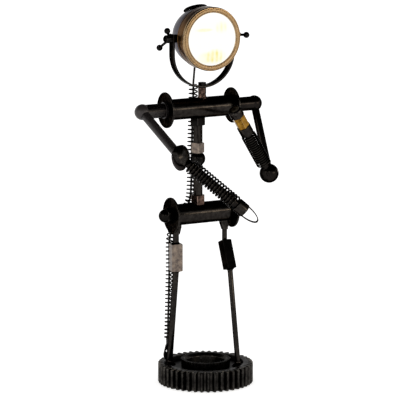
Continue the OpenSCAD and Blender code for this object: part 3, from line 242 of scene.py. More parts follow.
# %% [markdown]
# ## Finishes
#
# The lamp is a collection of old steel parts, blacked and oiled, so most finishes are
# dark metals that differ in warmth, gloss and wear. A metal's base colour is what it
# reflects, which is why blacked steel is written as a very dark, slightly brown metal
# rather than as black paint. Each pattern's size is given in millimetres.


# %% Helpers for materials
def linear(code):
    """An sRGB hex colour as the linear values that Blender's nodes use."""
    c = np.array([int(code[i : i + 2], 16) for i in (1, 3, 5)]) / 255
    c = np.where(c <= 0.04045, c / 12.92, ((c + 0.055) / 1.055) ** 2.4)
    return (*c.tolist(), 1.0)


def add(tree, kind, inputs=None, **settings):
    """Adds a node: settings are its own properties, and inputs are values or sockets to link from."""
    node = tree.nodes.new(kind)
    for key, value in settings.items():
        setattr(node, key, value)
    for key, value in (inputs or {}).items():
        if isinstance(value, bpy.types.NodeSocket):
            tree.links.new(value, node.inputs[key])
        else:
            node.inputs[key].default_value = value
    return node


def new_material(name):
    """An empty material, its tree, its Principled shader and its Object coordinates."""
    material = bpy.data.materials.new(name)
    material.use_nodes = True
    tree = material.node_tree
    shader = tree.nodes["Principled BSDF"]
    coordinates = add(tree, "ShaderNodeTexCoord").outputs["Object"]
    materials[name] = material
    return tree, shader, coordinates


def noise(tree, coordinates, size_mm, detail=4.0):
    """Noise whose largest features are about size_mm across."""
    inputs = {"Vector": coordinates, "Scale": 1000 / size_mm, "Detail": detail, "Roughness": 0.6}
    return add(tree, "ShaderNodeTexNoise", inputs).outputs["Fac"]


def ranged(tree, value, low, high, out_low=0.0, out_high=1.0):
    """A value between low and high taken to between out_low and out_high, and held there outside."""
    inputs = {"Value": value, "From Min": low, "From Max": high, "To Min": out_low, "To Max": out_high}
    return add(tree, "ShaderNodeMapRange", inputs).outputs[0]


def mixed(tree, factor, first, second):
    """One colour where factor is 0 and the other where it is 1."""
    node = add(tree, "ShaderNodeMix", data_type="RGBA")
    for socket, value in ((node.inputs[0], factor), (node.inputs[6], first), (node.inputs[7], second)):
        if isinstance(value, bpy.types.NodeSocket):
            tree.links.new(value, socket)
        else:
            socket.default_value = value
    return node.outputs[2]


def math_node(tree, operation, a, b=0.0):
    return add(tree, "ShaderNodeMath", {0: a, 1: b}, operation=operation).outputs[0]


def metal(name, base, second, worn, rough, patch_mm, worn_share, edge_tint, bump, grain_mm):
    """A metal with slow changes of tone between two colours, bare worn edges, and a fine uneven surface."""
    tree, shader, coordinates = new_material(name)
    patches = ranged(tree, noise(tree, coordinates, patch_mm), 0.35, 0.7)
    grain = noise(tree, coordinates, grain_mm, 3.0)
    wear = add(tree, "ShaderNodeAttribute", attribute_name="wear").outputs["Fac"]
    chips = ranged(tree, noise(tree, coordinates, 5, 5.0), 0.38, 0.62, 0.15, 1.0)
    bare = math_node(tree, "MULTIPLY", math_node(tree, "MULTIPLY", wear, chips), worn_share)
    colour = mixed(tree, bare, mixed(tree, patches, linear(base), linear(second)), linear(worn))
    roughness = ranged(tree, math_node(tree, "ADD", patches, grain), 0.2, 1.6, rough - 0.07, rough + 0.1)
    bumped = add(tree, "ShaderNodeBump", {"Height": grain, "Strength": bump, "Distance": 0.0004}).outputs[0]
    tree.links.new(colour, shader.inputs["Base Color"])
    tree.links.new(roughness, shader.inputs["Roughness"])
    tree.links.new(bumped, shader.inputs["Normal"])
    shader.inputs["Metallic"].default_value = 1.0
    shader.inputs["Specular Tint"].default_value = (edge_tint, edge_tint, edge_tint, 1)
    return tree, shader


# %% The finishes
metal("oiled_cast_iron", "#121110", "#1b1918", "#8f8a83", 0.30, 22, 0.35, 0.5, 0.04, 1.4)
metal("blacked_steel", "#151312", "#211e1c", "#6f6a64", 0.19, 30, 0.25, 0.3, 0.015, 1.2)
metal("dark_lacquered_steel", "#121110", "#1c1a19", "#6f6a64", 0.20, 16, 0.25, 0.35, 0.02, 1.1)
metal("bare_worn_steel", "#4f4744", "#85786c", "#cfc6ba", 0.28, 7, 0.45, 0.8, 0.06, 1.2)
metal("coppered_steel", "#211a17", "#5d4a41", "#c9b0a0", 0.22, 5, 0.4, 0.7, 0.06, 1.2)
metal("spring_wire", "#121110", "#1c1a18", "#5a544d", 0.22, 9, 0.3, 0.4, 0.02, 1.0)
metal("polished_brass", "#5c3f12", "#a37a2e", "#ffe2a0", 0.14, 7, 0.5, 0.8, 0.02, 1.0)
metal("satin_nickel", "#45424a", "#5c5960", "#a9a6a2", 0.26, 30, 0.2, 0.7, 0.01, 0.8)
metal("antique_bronze", "#4a3018", "#664826", "#b08a5c", 0.26, 34, 0.2, 0.7, 0.01, 0.9)
metal("pale_spun_brass", "#80694a", "#957a58", "#ead9ba", 0.24, 30, 0.15, 0.8, 0.0, 0.8)
metal("silvered_mirror", "#f0f0ee", "#e6e6e2", "#ffffff", 0.08, 30, 0.0, 1.0, 0.0, 1.0)
metal("plug_blades", "#b9b2a4", "#cfc8ba", "#e8e2d6", 0.25, 10, 0.5, 0.9, 0.05, 1.0)
print("metals:", len(materials))

# %% [markdown]
# ## Lamp glass, rubber and moulded plastic
#
# The lens is lit from behind and so bright that its flutes only show as pale stripes in
# the yellower parts of the beam. It glows by itself, at the level at which the photo's
# glass just reaches white, over a dark base that adds little reflected light. The lead is
# soft rubber and the plug a moulded plastic with a fine spark-eroded grain.

# %% Glass, rubber and plastic
PIVOT = np.array([4.0, 20.0, 586.0])
FLUTE_MM = 2.6


def patch(tree, coordinates, x, z, wide, tall):
    """1 inside a soft-edged oval on the lens, 0 outside it; x and z are from the lens's middle."""
    scale = (1000 / wide, 0, 1000 / tall)
    centre = (-(PIVOT[0] + x) / wide, 0, -(PIVOT[2] + z) / tall)
    moved = add(tree, "ShaderNodeMapping", {"Vector": coordinates, "Scale": scale,
                                            "Location": centre}).outputs[0]
    length = add(tree, "ShaderNodeVectorMath", {0: moved}, operation="LENGTH").outputs["Value"]
    return ranged(tree, length, 0.6, 1.15, 1, 0)


tree, shader, coordinates = new_material("pressed_lamp_glass")
flutes = add(tree, "ShaderNodeTexWave", {"Vector": coordinates,
                                         "Scale": 1000 / (FLUTE_MM * 2 * math.pi) * 0.62,
             "Distortion": 0.0}, bands_direction="X", wave_profile="SIN").outputs["Fac"]
striped = ranged(tree, flutes, 0.2, 0.8, 0.45, 1.0)
blotches = ranged(tree, noise(tree, coordinates, 16, 2.0), 0.4, 0.65, 0.5, 1.0)
upper = math_node(tree, "MULTIPLY", patch(tree, coordinates, 17, 19, 12, 10), striped)
lower = math_node(tree, "MULTIPLY", patch(tree, coordinates, 6, -29, 18, 12), striped)
left = math_node(tree, "MULTIPLY", patch(tree, coordinates, -12, -31, 16, 10), 0.35)
ring = math_node(tree, "MULTIPLY", patch(tree, coordinates, -16, 16, 16, 3), 0.5)
yellow = math_node(tree, "ADD", math_node(tree, "ADD", math_node(tree, "MULTIPLY", upper, 0.45), lower),
                   math_node(tree, "ADD", left, ring))
yellow = math_node(tree, "MULTIPLY", yellow, blotches)
glow = mixed(tree, yellow, (1.0, 0.99, 0.94, 1), (0.88, 0.80, 0.28, 1))
tree.links.new(glow, shader.inputs["Emission Color"])
shader.inputs["Emission Strength"].default_value = 1.0
shader.inputs["Base Color"].default_value = linear("#3a3628")
shader.inputs["Roughness"].default_value = 0.12
shader.inputs["Specular IOR Level"].default_value = 0.3
shader.inputs["IOR"].default_value = 1.5

tree, shader, coordinates = new_material("bulb_glass")
frost = mixed(tree, ranged(tree, noise(tree, coordinates, 6), 0.3, 0.7), linear("#fff3cf"), linear("#ffe7ad"))
tree.links.new(frost, shader.inputs["Emission Color"])
tree.links.new(frost, shader.inputs["Base Color"])
shader.inputs["Emission Strength"].default_value = 1.5
shader.inputs["Roughness"].default_value = 0.3


def moulded(name, base, second, rough, grain_mm, strength, specular):
    """A moulded surface: one colour with slight cloudiness, and a fine grain in its gloss and bumps."""
    tree, shader, coordinates = new_material(name)
    cloud = ranged(tree, noise(tree, coordinates, 14), 0.35, 0.65)
    grain = noise(tree, coordinates, grain_mm, 2.0)
    tree.links.new(mixed(tree, cloud, linear(base), linear(second)), shader.inputs["Base Color"])
    tree.links.new(ranged(tree, grain, 0.3, 0.7, rough - 0.06, rough + 0.06), shader.inputs["Roughness"])
    bumped = add(tree, "ShaderNodeBump", {"Height": grain, "Strength": strength,
                                          "Distance": 0.0003}).outputs[0]
    tree.links.new(bumped, shader.inputs["Normal"])
    shader.inputs["Specular IOR Level"].default_value = specular


moulded("black_rubber", "#161514", "#1f1d1b", 0.55, 0.7, 0.15, 0.3)
moulded("black_abs", "#191817", "#201f1d", 0.42, 0.5, 0.25, 0.4)
print("materials:", len(materials))

# %% [markdown]
# ## The lead
#
# The photo shows the lead only where it drops from the headlamp into the long spring. A
# table lamp has about 1.8 m of it, so it leaves the foot of the spring through a tapered
# sleeve, crosses the gear behind the left leg, and its unseen length is wound into a
# double flat coil close behind the gear, with its plug beside it.

# %% The lead's route
LEAD_D = 3.6
AWAY, ALONG = unit([0.47, 0.883, 0]), unit([0.883, -0.47, 0])
RELIEF = np.array([-48.5, 46.0, 0])
DROP = np.array([
    [0, 54], [0, 52], [1, 48.5], [3.5, 44.5], [7, 41.5], [11, 39.8], [15, 39],
    [22, 38], [28.5, 36.8], [34, 34.8], [38.5, 31.5], [42, 27], [43.5, 21.7],
    [43.8, 16.8], [45, 11.5], [47.5, 7], [51, 4], [54.5, 2.3], [58.5, 1.8],
    [70, 1.8], [85, 1.8], [98, 1.8],
])
COIL_R, COIL_STEP, COIL_LOOPS, COIL_TURNS = 36.0, 4.1, 5, 10.375
PLUG_W, PLUG_H, PLUG_L, PLUG_NECK = 24.0, 11.8, 28.0, 9.0


def smooth_curve(points, steps):
    """Catmull-Rom curve through points: a cubic in t between each two, from the four nearest points."""
    p = np.asarray(points, float)
    a, b, c, d = (p[np.clip(np.arange(len(p) - 1) + k, 0, len(p) - 1)][:, None] for k in (-1, 0, 1, 2))
    t = (np.arange(steps) / steps)[None, :, None]
    line = 0.5 * (2 * b + (c - a) * t + (2 * a - 5 * b + 4 * c - d) * t**2 + (3 * b - a - 3 * c + d) * t**3)
    return np.concatenate([line.reshape(-1, p.shape[1]), p[-1:]])


def run_of(path):
    """Length along a path up to each of its points."""
    return np.concatenate([[0], np.cumsum(np.linalg.norm(np.diff(path, axis=0), axis=1))])


drop = smooth_curve(DROP, 3)
drop[:, 1] = np.maximum(drop[:, 1], LEAD_D / 2)
across_floor = RELIEF + drop[:, :1] * AWAY + drop[:, 1:] * np.array([0, 0, 1])
coil_middle = RELIEF + (98 + LEAD_D) * AWAY + [0, 0, LEAD_D / 2] + COIL_R * ALONG
t = np.arange(0, COIL_TURNS * 32 + 1) / 32
radius = (COIL_R - COIL_STEP * (COIL_LOOPS - np.abs(t - COIL_LOOPS)))[:, None]
turn = (-2 * np.pi * t)[:, None]
layer = COIL_STEP * np.clip((t - COIL_LOOPS + 0.25) / 0.5, 0, 1)[:, None] * [0, 0, 1]
loops = coil_middle + radius * (-np.cos(turn) * ALONG - np.sin(turn) * AWAY) + layer
plug_dir = unit(ALONG - AWAY)
loop_end_r = np.linalg.norm((loops[-1] - coil_middle)[:2])
tail = math.sqrt((COIL_R + LEAD_D) ** 2 - (loop_end_r - PLUG_W / 2) ** 2) - PLUG_NECK
plug_at = loops[-1] + tail * plug_dir
lead_path = np.concatenate([across_floor, loops, [loops[-1] + tail * plug_dir / 2, plug_at]])

# %% Lead, sleeve and plug
# The section's reference turns from sideways on the drop to upwards in the coil, on the
# straight run along the floor.
upright = np.ones(len(lead_path))
upright[: len(drop)] = np.clip((drop[:, 0] - 60) / 34, 0, 1)
upright = upright[:, None]
lead = make("lead", [carried(lead_path, LEAD_D / 2, (1 - upright) * ALONG + upright * [0, 0, 1.0], 12)],
            "stand", "black_rubber", ("mains_lead", "lead_coil"))

RELIEF_LOW, RELIEF_TOP = 54, 71
relief_h = np.linspace(RELIEF_LOW, RELIEF_TOP, 41)
ribs = 2.35 + 0.5 * (relief_h - RELIEF_LOW) / 17 + 0.15 * np.sign(np.sin((relief_h - RELIEF_LOW) * 1.9))
relief_profile = np.concatenate([[[0, RELIEF_LOW]], np.stack([ribs, relief_h], axis=1), [[0, RELIEF_TOP]]])
make("strain_sleeve", [turned(relief_profile, place(RELIEF), 32)], "stand", "black_rubber",
                     "strain_relief")

at_plug = place(plug_at, plug_dir, (0, 0, 1))
s = np.linspace(0, 1, 33)
corner = np.linspace(0, 2 * np.pi, 64, endpoint=False)
squared = np.stack([np.sign(np.cos(corner)) * np.abs(np.cos(corner)) ** 0.35,
                    np.sign(np.sin(corner)) * np.abs(np.sin(corner)) ** 0.35], axis=1)
ends = 1 - 0.16 * np.clip(1 - s / 0.12, 0, 1) ** 2 - 0.10 * np.clip((s - 0.9) / 0.1, 0, 1) ** 2
waist = 1 - 0.07 * np.exp(-(((s - 0.45) / 0.14) ** 2))
grips = 1 - 0.02 * (np.sin(s * 60) > 0) * (np.abs(s - 0.45) < 0.22)
body = np.stack([np.outer(ends, squared[:, 0]) * PLUG_H / 2,
                 np.outer(ends * waist * grips, squared[:, 1]) * PLUG_W / 2,
                 np.repeat((PLUG_NECK + s * PLUG_L)[:, None], 64, 1)], axis=-1)
caps = [np.tile([0, 0, PLUG_NECK + k * PLUG_L], (1, 64, 1)) for k in (0, 1)]
body = skin(put(np.concatenate([caps[0], body, caps[1]]), at_plug), 0.0, close_rows=False)
neck_h = np.linspace(0, PLUG_NECK, 28)
neck_r = 2.6 + (neck_h / PLUG_NECK) * 2.2 + 0.3 * np.sign(np.sin(neck_h * 2.4))
neck = turned(np.concatenate([[[0, 0]], np.stack([neck_r, neck_h], axis=1), [[0, PLUG_NECK]]]), at_plug, 32)
plug_body = make("plug_body", [body, neck], "stand", "black_abs", "plug")


def blade(side):
    """A plug's flat blade: a rounded rectangle carried outwards, with a pointed tip."""
    reach = np.linspace(PLUG_NECK + PLUG_L - 1, PLUG_NECK + PLUG_L + 16, 12)
    line = put(np.stack([0 * reach, side * 6.3 + 0 * reach, reach], axis=1), at_plug)
    flat = squared * np.array([3.1, 0.75])
    size = np.where(reach > reach[-1] - 2, 1 - 0.3 * (reach - reach[-1] + 2) / 2, 1)
    return carried(line, size, at_plug[1][:, 0], section=flat, wear=0.3)


plug_pins = make("plug_pins", [blade(-1), blade(1)], "stand", "plug_blades")

# %% Lead from the headlamp into the spring
SPRING_Y = 45.8
SPRING_TOP = np.array([1.0, SPRING_Y, 503.0])
GLAND = PIVOT + [0, 26, -42.79]
CABLE_ROUTE = [
    SPRING_TOP, [0, SPRING_Y, 460], [-2, SPRING_Y, 400], [-3, SPRING_Y, 340], [-6, 47, 305],
    [-20, 47, 282], [-38, 45, 262], [-48, 39, 243], [-49, 38.5, 215], [-49, 38.5, 188],
    [-50, 40, 120], [-48.5, 46, 68],
]
cable = smooth_curve(CABLE_ROUTE, 6)
cable_run = run_of(cable)

def on_cable(s):
    """Points and directions on the long spring's centre line, at lengths s from its top."""
    at = lambda q: np.stack([np.interp(q, cable_run, cable[:, k]) for k in range(3)], axis=1)
    return at(s), unit(at(np.minimum(s + 2, cable_run[-1])) - at(np.maximum(s - 2, 0)))


head_top = GLAND + [0, 0, 12]
mouth, spring_mouth = GLAND - [0, 0, 6.5], SPRING_TOP + [0, 0, 3]
lead_middle = (mouth + spring_mouth) / 2
inside, _ = on_cable(np.arange(3, 24, 3.0))
upper_lead = smooth_curve([head_top, GLAND, mouth, (mouth * 3 + spring_mouth) / 4, lead_middle], 8)
lower_lead = smooth_curve([lead_middle, (mouth + spring_mouth * 3) / 4, spring_mouth, SPRING_TOP, *inside], 5)
for name, path, exit_at, nodes, ends_on, z_from, z_to in (
    ("head_lead", upper_lead, head_top, "head_lead_upper", ("head", "stirrup"), 537, 523),
    ("neck_lead", lower_lead, lead_middle, "head_lead_lower", ("stirrup", "stand"), 520, 504),
):
    piece = make(name, [carried(path, LEAD_D / 2, (1, 0, 0), 12)], None, "black_rubber", nodes)
    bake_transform(piece)
    print(name, round(run_of(path)[-1], 1), "mm")

inner_path = np.concatenate([inside[-1:], on_cable(np.arange(24, cable_run[-1] - 8, 3.0))[0],
                             [RELIEF + [0, 0, 74], RELIEF + [0, 0, 70]]])
make("lead_in_spring", [carried(inner_path, LEAD_D / 2, (0, 1, 0.01), 10)], "stand", "black_rubber",
     "lead_in_springs")

# %% [markdown]
# ## The gear foot
#
# The foot is a 44-tooth gear of module 3.5 lying on its face, with a recess round its hub
# and a ring of dog slots pressed onto the hub. Its section is carried round the axis, and
# what lies outside the recess is stretched to the tooth's own radius at each angle.

# %% Gear, dog ring and oil holes, whose dark insides are painted shade
TEETH, GEAR_H, RECESS_R, TIP_R = 44, 34.0, 64.03, 80.5
share = np.array([0, 0.05, 0.10, 0.115, 0.155, 0.20, 0.235, 0.27, 0.295, 0.34, 0.42])
share = np.concatenate([-share[:0:-1], share, [0.5]])
outline_r = np.interp(np.abs(share), [0, 0.11, 0.20, 0.27, 0.30, 0.5],
                      [80.5, 80.5, 78.23, 75.43, 72.63, 72.63])
outline_wear = np.interp(np.abs(share), [0, 0.10, 0.115, 0.2, 0.3, 0.5], [0.06, 0.1, 0.4, 0.1, 0, 0])
turn = ((np.arange(TEETH)[:, None] + share) * 2 * np.pi / TEETH).reshape(-1)
outline_r, outline_wear = np.tile(outline_r, TEETH), np.tile(outline_wear, TEETH)
section = eased([(32, 0), (79.3, 0), (TIP_R, 1.2), (TIP_R, 17), (TIP_R, 32.8), (79.3, GEAR_H),
                 (RECESS_R, GEAR_H), (RECESS_R, 27), (37, 27), (37, 40.5), (36.5, 40.5), (32, 36)], 0.7, 4)
outside = np.clip((section[:, 0] - RECESS_R) / (TIP_R - RECESS_R), 0, None)[:, None]
r = np.minimum(section[:, :1], RECESS_R) + outside * (outline_r - RECESS_R)
grid = np.stack([r * np.cos(turn), r * np.sin(turn), section[:, 1:2] + 0 * turn], axis=-1)
worn = np.clip(section[:, 2:3] + (outside > 0.9) * outline_wear, 0, 1)
make("gear", [skin(grid, worn)], "stand", "oiled_cast_iron", "base_gear", smooth=28)

step = np.array([-1.9, -1.75, -1.70, 0, 1.70, 1.75, 1.9, 4.09])
turn = np.radians((np.arange(TEETH)[:, None] * 360 / TEETH + step).reshape(-1))
in_slot = np.tile(np.abs(step) < 1.72, TEETH)
section = np.array([[37.05, 27], [41.45, 27], [41.45, 34.4], [41.45, 34.5], [41.45, 39.7], [41.45, 39.8],
                    [41.45, 40.2], [41.15, 40.5], [37.3, 40.5], [37.05, 40.3]])
r = section[:, :1] - 1.5 * in_slot * np.isin(np.arange(10), (3, 4))[:, None]
grid = np.stack([r * np.cos(turn), r * np.sin(turn), section[:, 1:2] + 0 * turn], axis=-1)
worn = np.array([0, 0, 0.4, 0.6, 0.6, 0.7, 1, 1, 0.6, 0.3])[:, None] * np.where(in_slot, 0.5, 1)
make("dog_ring_teeth", [skin(grid, worn)], "stand", "dark_lacquered_steel", "dog_ring", smooth=28)

HOLE_MIDDLE, HOLE_SIDE, HOLE_R = 62, 14, 2.0
hole_shade_discs, rims = [], []
for k in range(3):
    for side in (-HOLE_SIDE, HOLE_SIDE):
        a = math.radians(HOLE_MIDDLE + 120 * k + side)
        inward = np.array([-math.cos(a), -math.sin(a), 0])
        at = place(-31.6 * inward + [0, 0, 33], inward)
        hole_shade_discs.append(turned(disc(HOLE_R, -0.2, 0.1, 0, 0.05), at, 32))
        rims.append(turned([(HOLE_R, -0.1), (2.5, -0.1), (2.5, 0.12), (2.25, 0.25), (HOLE_R, 0.12)], at, 32))
# Each oil hole is a thin black disc in the rubber finish. It is painted shade that stands in for the dark
# inside of the hole, and it has an iron rim round it.
make("oil_hole_shade_discs", hole_shade_discs, "stand", "black_rubber")
make("oil_hole_rims", rims, "stand", "oiled_cast_iron")

# %% [markdown]
# ## Legs
#
# The left leg is upright rod and the right one leans back from its foot, which stands
# further forward. Square bar makes the knees, each rod is welded at both ends, and a
# plate gusset takes each thigh up to the hip tube.

# %% Legs
LEFT_FOOT, LEFT_KNEE = np.array([-51, 35, 27.0]), np.array([-46, 20, 192.0])
RIGHT_FOOT, RIGHT_KNEE = np.array([47.6, -28, 27.0]), np.array([47, 0.4, 190.0])
RIGHT_KNEE_TOP = np.array([47, 20, 236.0])


def rod(a, b, r, sides=48):
    """A drawn rod between two points, with eased corners at its ends."""
    length = float(np.linalg.norm(np.asarray(b) - a))
    return turned(disc(r, 0, length, 0, 0.3), place(a, np.asarray(b) - a), sides)


def weld(at, axis, r_rod, r_weld, h, lumps=9, phase=0.0, limit_y=None):
    """A fillet weld round a rod: radius r_rod + (r_weld - r_rod)(1 - z/h)^1.6, with ripples round it."""
    z = np.linspace(0, 1, 9)[:, None]
    turn = np.linspace(0, 2 * np.pi, 96, endpoint=False)
    r = r_rod + (r_weld - r_rod) * (1 - z) ** 1.6 * (1 - 0.05 * (1 + np.sin(lumps * turn + phase + 3 * z)))
    grid = np.stack([r * np.cos(turn), r * np.sin(turn), h * z + 0 * turn], axis=-1)
    grid = np.concatenate([np.zeros((1, 96, 3)), grid, np.full((1, 96, 3), [0, 0, h])])
    points, faces, wear = skin(put(grid, place(at, axis)), 0.25, close_rows=False)
    if limit_y is not None:
        points = np.minimum(points, [np.inf, limit_y, np.inf])
    return points, faces, wear


def plate(outline, depth, at, hole=None, ease=0.4):
    """A flat plate from an outline and its hole, or its middle point, joined over front and back."""
    outline = np.asarray(outline, float)
    middle = outline.mean(axis=0)
    inner = np.repeat(middle[None], len(outline), 0) if hole is None else np.asarray(hole, float)
    small = outline + ease * unit(middle - outline)
    rows = [(inner, -depth / 2), (small, -depth / 2), (outline, ease - depth / 2),
            (outline, depth / 2 - ease), (small, depth / 2), (inner, depth / 2)]
    grid = np.stack([np.column_stack([xy, np.full(len(xy), h)]) for xy, h in rows])
    worn = np.array([0, 0.8, 0.6, 0.6, 0.8, 0])[:, None]
    return skin(put(grid, at), worn, close_rows=hole is not None)


def knee_bar(at, axis, across, length, degrees):
    """Square bar with bevelled ends, turned about its length."""
    a = math.radians(degrees)
    spot = place(at, axis, (1, 0, 0))
    toward = math.cos(a) * spot[1][:, 0] + math.sin(a) * spot[1][:, 1]
    return faceted(4, across, 0, length, place(at, axis, toward), math.pi / 4, 0, 1.385, 0.25)


def gusset(x, r, shift):
    """The plate under the hip tube: as wide as the tube's seat at the top, down to the rod's width."""
    wide, tall = 7.5, 15.0
    outline = [(-wide, tall + 1), (wide, tall + 1), (wide, tall - 3), (r - shift, 0), (-r - shift, 0),
               (-wide, tall - 3)]
    return plate(outline, 2 * r - 0.2, place((x + shift, 20, 255), (0, -1, 0), (1, 0, 0)))


left_up = unit(LEFT_KNEE - LEFT_FOOT + [0, 0, 13.5])
make("left_shin_rod", [rod(LEFT_FOOT + [0.1, 0.3, 0.1], LEFT_KNEE, 5.25),
     weld(LEFT_FOOT, (0, 0, 1), 5.3, 11.4, 8, limit_y=39.2), weld(LEFT_KNEE, -left_up, 5.3, 8.1, 3, 7)],
     "stand", "blacked_steel", "left_shin")
make("left_knee", [knee_bar(LEFT_KNEE, (0, 0, 1), 19, 47, -11)], "stand", "bare_worn_steel",
     "left_knee_block")
make("left_thigh_rod", [rod((-46, 20, 239), (-46, 20, 270.6), 5.25), gusset(-46, 5.25, 1),
     weld(np.array([-46, 20, 239.0]), (0, 0, 1), 5.3, 8.1, 3, 7)], "stand", "blacked_steel", "left_thigh")
right_up = unit(RIGHT_KNEE - RIGHT_FOOT)
make("right_shin_rod", [rod(RIGHT_FOOT, RIGHT_KNEE, 4.5), weld(RIGHT_FOOT, (0, 0, 1), 4.6, 11.4, 8, 8, 1.0),
     weld(RIGHT_KNEE, -right_up, 4.6, 7.4, 3, 7, 2.0)], "stand", "blacked_steel", "right_shin")
knee_axis = RIGHT_KNEE_TOP - RIGHT_KNEE
make("right_knee", [knee_bar(RIGHT_KNEE, knee_axis, 17, float(np.linalg.norm(knee_axis)), 5)], "stand",
     "dark_lacquered_steel", "right_knee_block")
make("right_thigh_rod", [rod((47, 20, 232), (47, 20, 270.6), 4.3), gusset(47, 4.3, -1)], "stand",
     "blacked_steel", "right_thigh")

# %% [markdown]
# ## Hips, spine and shoulders
#
# Both cross tubes carry large washers on their ends. A bolt runs through the hips, and the
# arms' axles turn in the shoulder tube. The spine is a row of turned and hexagonal parts.

# %% Hips, spine and shoulders
def along_x(x, z):
    """A place whose axis runs along +X behind the gear's centre, where the lamp's frame stands."""
    return place((x, 20, z), (1, 0, 0), (0, 0, -1))


HIP_Z, SHOULDER_Z = 288.0, 467.0
WASHER_R, WASHER_T = 30, 3
make("hips", [turned(disc(18, -52.5, 57.5, 15, 0.8), along_x(0, HIP_Z))], "stand", "blacked_steel",
     "hip_tube")
make("hip_plates", [turned(disc(WASHER_R, x, x + WASHER_T, 8.05, 0.7), along_x(0, HIP_Z), 128)
                    for x in (-55.5, 57.5)], "stand", "dark_lacquered_steel", "hip_washers")
make("hip_screw", [turned(disc(8, -60, 60.5), along_x(0, HIP_Z)),
                   faceted(6, 24, 0, 10, along_x(60.5, HIP_Z), 0, 0, 1.11)],
     "stand", "dark_lacquered_steel", "hip_bolt")
dome = np.linspace(0, np.pi / 2, 16)
dome = np.concatenate([[[0, 0]], np.stack([11.5 * np.cos(dome), 11.5 * np.sin(dome)], axis=1)])
dome[-1, 0] = 0
make("hip_acorn_nut", [faceted(6, 24, 0, 10, place((-55.5, 20, HIP_Z), (-1, 0, 0), (0, 0, 1)), 0, 0, 1.11),
     turned(dome, place((-65.5, 20, HIP_Z), (-1, 0, 0)))], "stand", "dark_lacquered_steel", "hip_cap_nut")

spine = lambda z: place((-4, 20, z), (0, 0, 1), (1, 0, 0))
make("spine_nut", [faceted(6, 22, 303, 319, spine(0), 0, 7.85, 1.12)], "stand", "coppered_steel",
     "spine_foot_nut")
make("spine_bars", [rod((-4, 20, 306.1), (-4, 20, 371), 7.8), rod((-4, 20, 407.5), (-4, 20, 449), 7.8)],
     "stand", "blacked_steel", "spine_rods")
a = np.arcsin(9.9 / 12.6)
a = np.linspace(-a, a, 28)
make("spine_knuckle", [turned(np.concatenate([[[0, 370.6]],
                                              np.stack([12.6 * np.cos(a), 380.5 + 12.6 * np.sin(a)], 1),
     [[0, 390.4]]]), spine(0))], "stand", "dark_lacquered_steel", "spine_ball")
make("spine_cube", [knee_bar((-4, 20, 390.4), (0, 0, 1), 15.7, 17.6, 26)], "stand", "bare_worn_steel",
     "spine_block")
make("spine_top_nut", [faceted(6, 24, 438, 451, spine(0), 0, 7.85, 1.11)], "stand", "dark_lacquered_steel",
     "spine_collar_nut")

make("shoulders", [turned(disc(17.5, -62.9, 59, 14.5, 0.8), along_x(0, SHOULDER_Z))], "stand",
     "blacked_steel", "shoulder_tube")
make("shoulder_plates", [turned(disc(WASHER_R, x, x + WASHER_T, 12.05, 0.7), along_x(0, SHOULDER_Z), 128)
                         for x in (-65.9, 59)], "stand", "dark_lacquered_steel", "shoulder_washers")
neck = lambda z: place((4, 20, z), (0, 0, 1), (1, 0, 0))
flare = np.linspace(0, 1, 10)
flare = np.stack([6.8 + 1.3 * (1 - flare) ** 2, 482.6 + 5.4 * flare], axis=1)
make("neck_pillar", [turned(np.concatenate([[[0, 480]], [[8.1, 480]], flare,
                                            disc(6.8, 490, 500.8, 0, 0.7)[4:, :2]]),
     neck(0))], "stand", "coppered_steel", "neck_post")
make("neck_screw", [faceted(6, 13, 504.2, 509.5, neck(0), 0, 0, 1.12), turned(disc(4, 492, 504.3), neck(0))],
     "stand", "dark_lacquered_steel", "neck_bolt")

# %% [markdown]
# ## The long spring and its lug
#
# One curve runs from the neck down behind the spine, out to the left leg and down to the
# gear. Each spring's centre line is that curve plus r (n cos a + b sin a), where n and b
# are square to it and a grows by one turn per curl.

# %% Springs
CABLE_WIRE_R = 1.25


def wound(centre, t, r, curls, rings=24):
    """Centre line of a wire wound round a line: curls turns of radius r, starting in front of it."""
    n = unit(np.array([0, -1.0, 0]) - (t @ [0, -1.0, 0])[:, None] * t)
    turn = (2 * np.pi * np.arange(curls * rings + 1) / rings)[:, None]
    return centre + r * (np.cos(turn) * n + np.sin(turn) * np.cross(t, n))


def ended(path, extra):
    """The path with a short straight end at both of its ends."""
    return np.concatenate([[path[0] + extra * unit(path[0] - path[1])], path,
                           [path[-1] + extra * unit(path[-1] - path[-2])]])


for name, start, end, r, curls in (("cable_spring_upper", 0, 225, 6.75, 33),
                                   ("cable_spring_lower", 231, None, 5.25, 32)):
    s = np.linspace(start, cable_run[-1] if end is None else end, curls * 24 + 1)
    centre, t = on_cable(s)
    path = ended(wound(centre, t, r, curls), 2.4)
    toward = np.concatenate([t[:1], t, t[-1:]])
    make(name.replace("cable", "long"), [carried(path, CABLE_WIRE_R, toward, 8, wear=0.2)], "stand",
         "spring_wire", name)
    print(name, curls, "curls,", round(run_of(path)[-1]), "mm of wire")

turn = np.linspace(0, 2 * np.pi, 64, endpoint=False)
direction = np.stack([np.cos(turn), np.sin(turn)], axis=1)
low = np.clip(10.8 + 6 * direction[:, 1], 0, None)
lug_shape = np.stack([6 * direction[:, 0], low], axis=1)
lug_shape[:, 1] = np.where(direction[:, 1] < 0, (1 + direction[:, 1]) * 10.8, lug_shape[:, 1])
top = direction @ [0.15, 1] > 0.25
lug_shape[top] = [2, 24] + 4.5 * direction[top]
lug_eye = [0, 16] + 2.25 * direction
make("spring_lug", [plate(lug_shape, 2.9, place((-52.8, 41, 34), (0, -1, 0), (1, 0, 0)), lug_eye, 0.3)],
     "stand", "blacked_steel", "spring_anchor_lug")

# %% [markdown]
# ## Stirrup and headlamp
#
# A strip bent into a U carries the lamp on two studs. The lamp's bowl is a half
# ellipsoid with a bronze band, and its bezel is turned in steps: an outer roll, a broad
# pale ring between two grooves, and a lip round the glass.

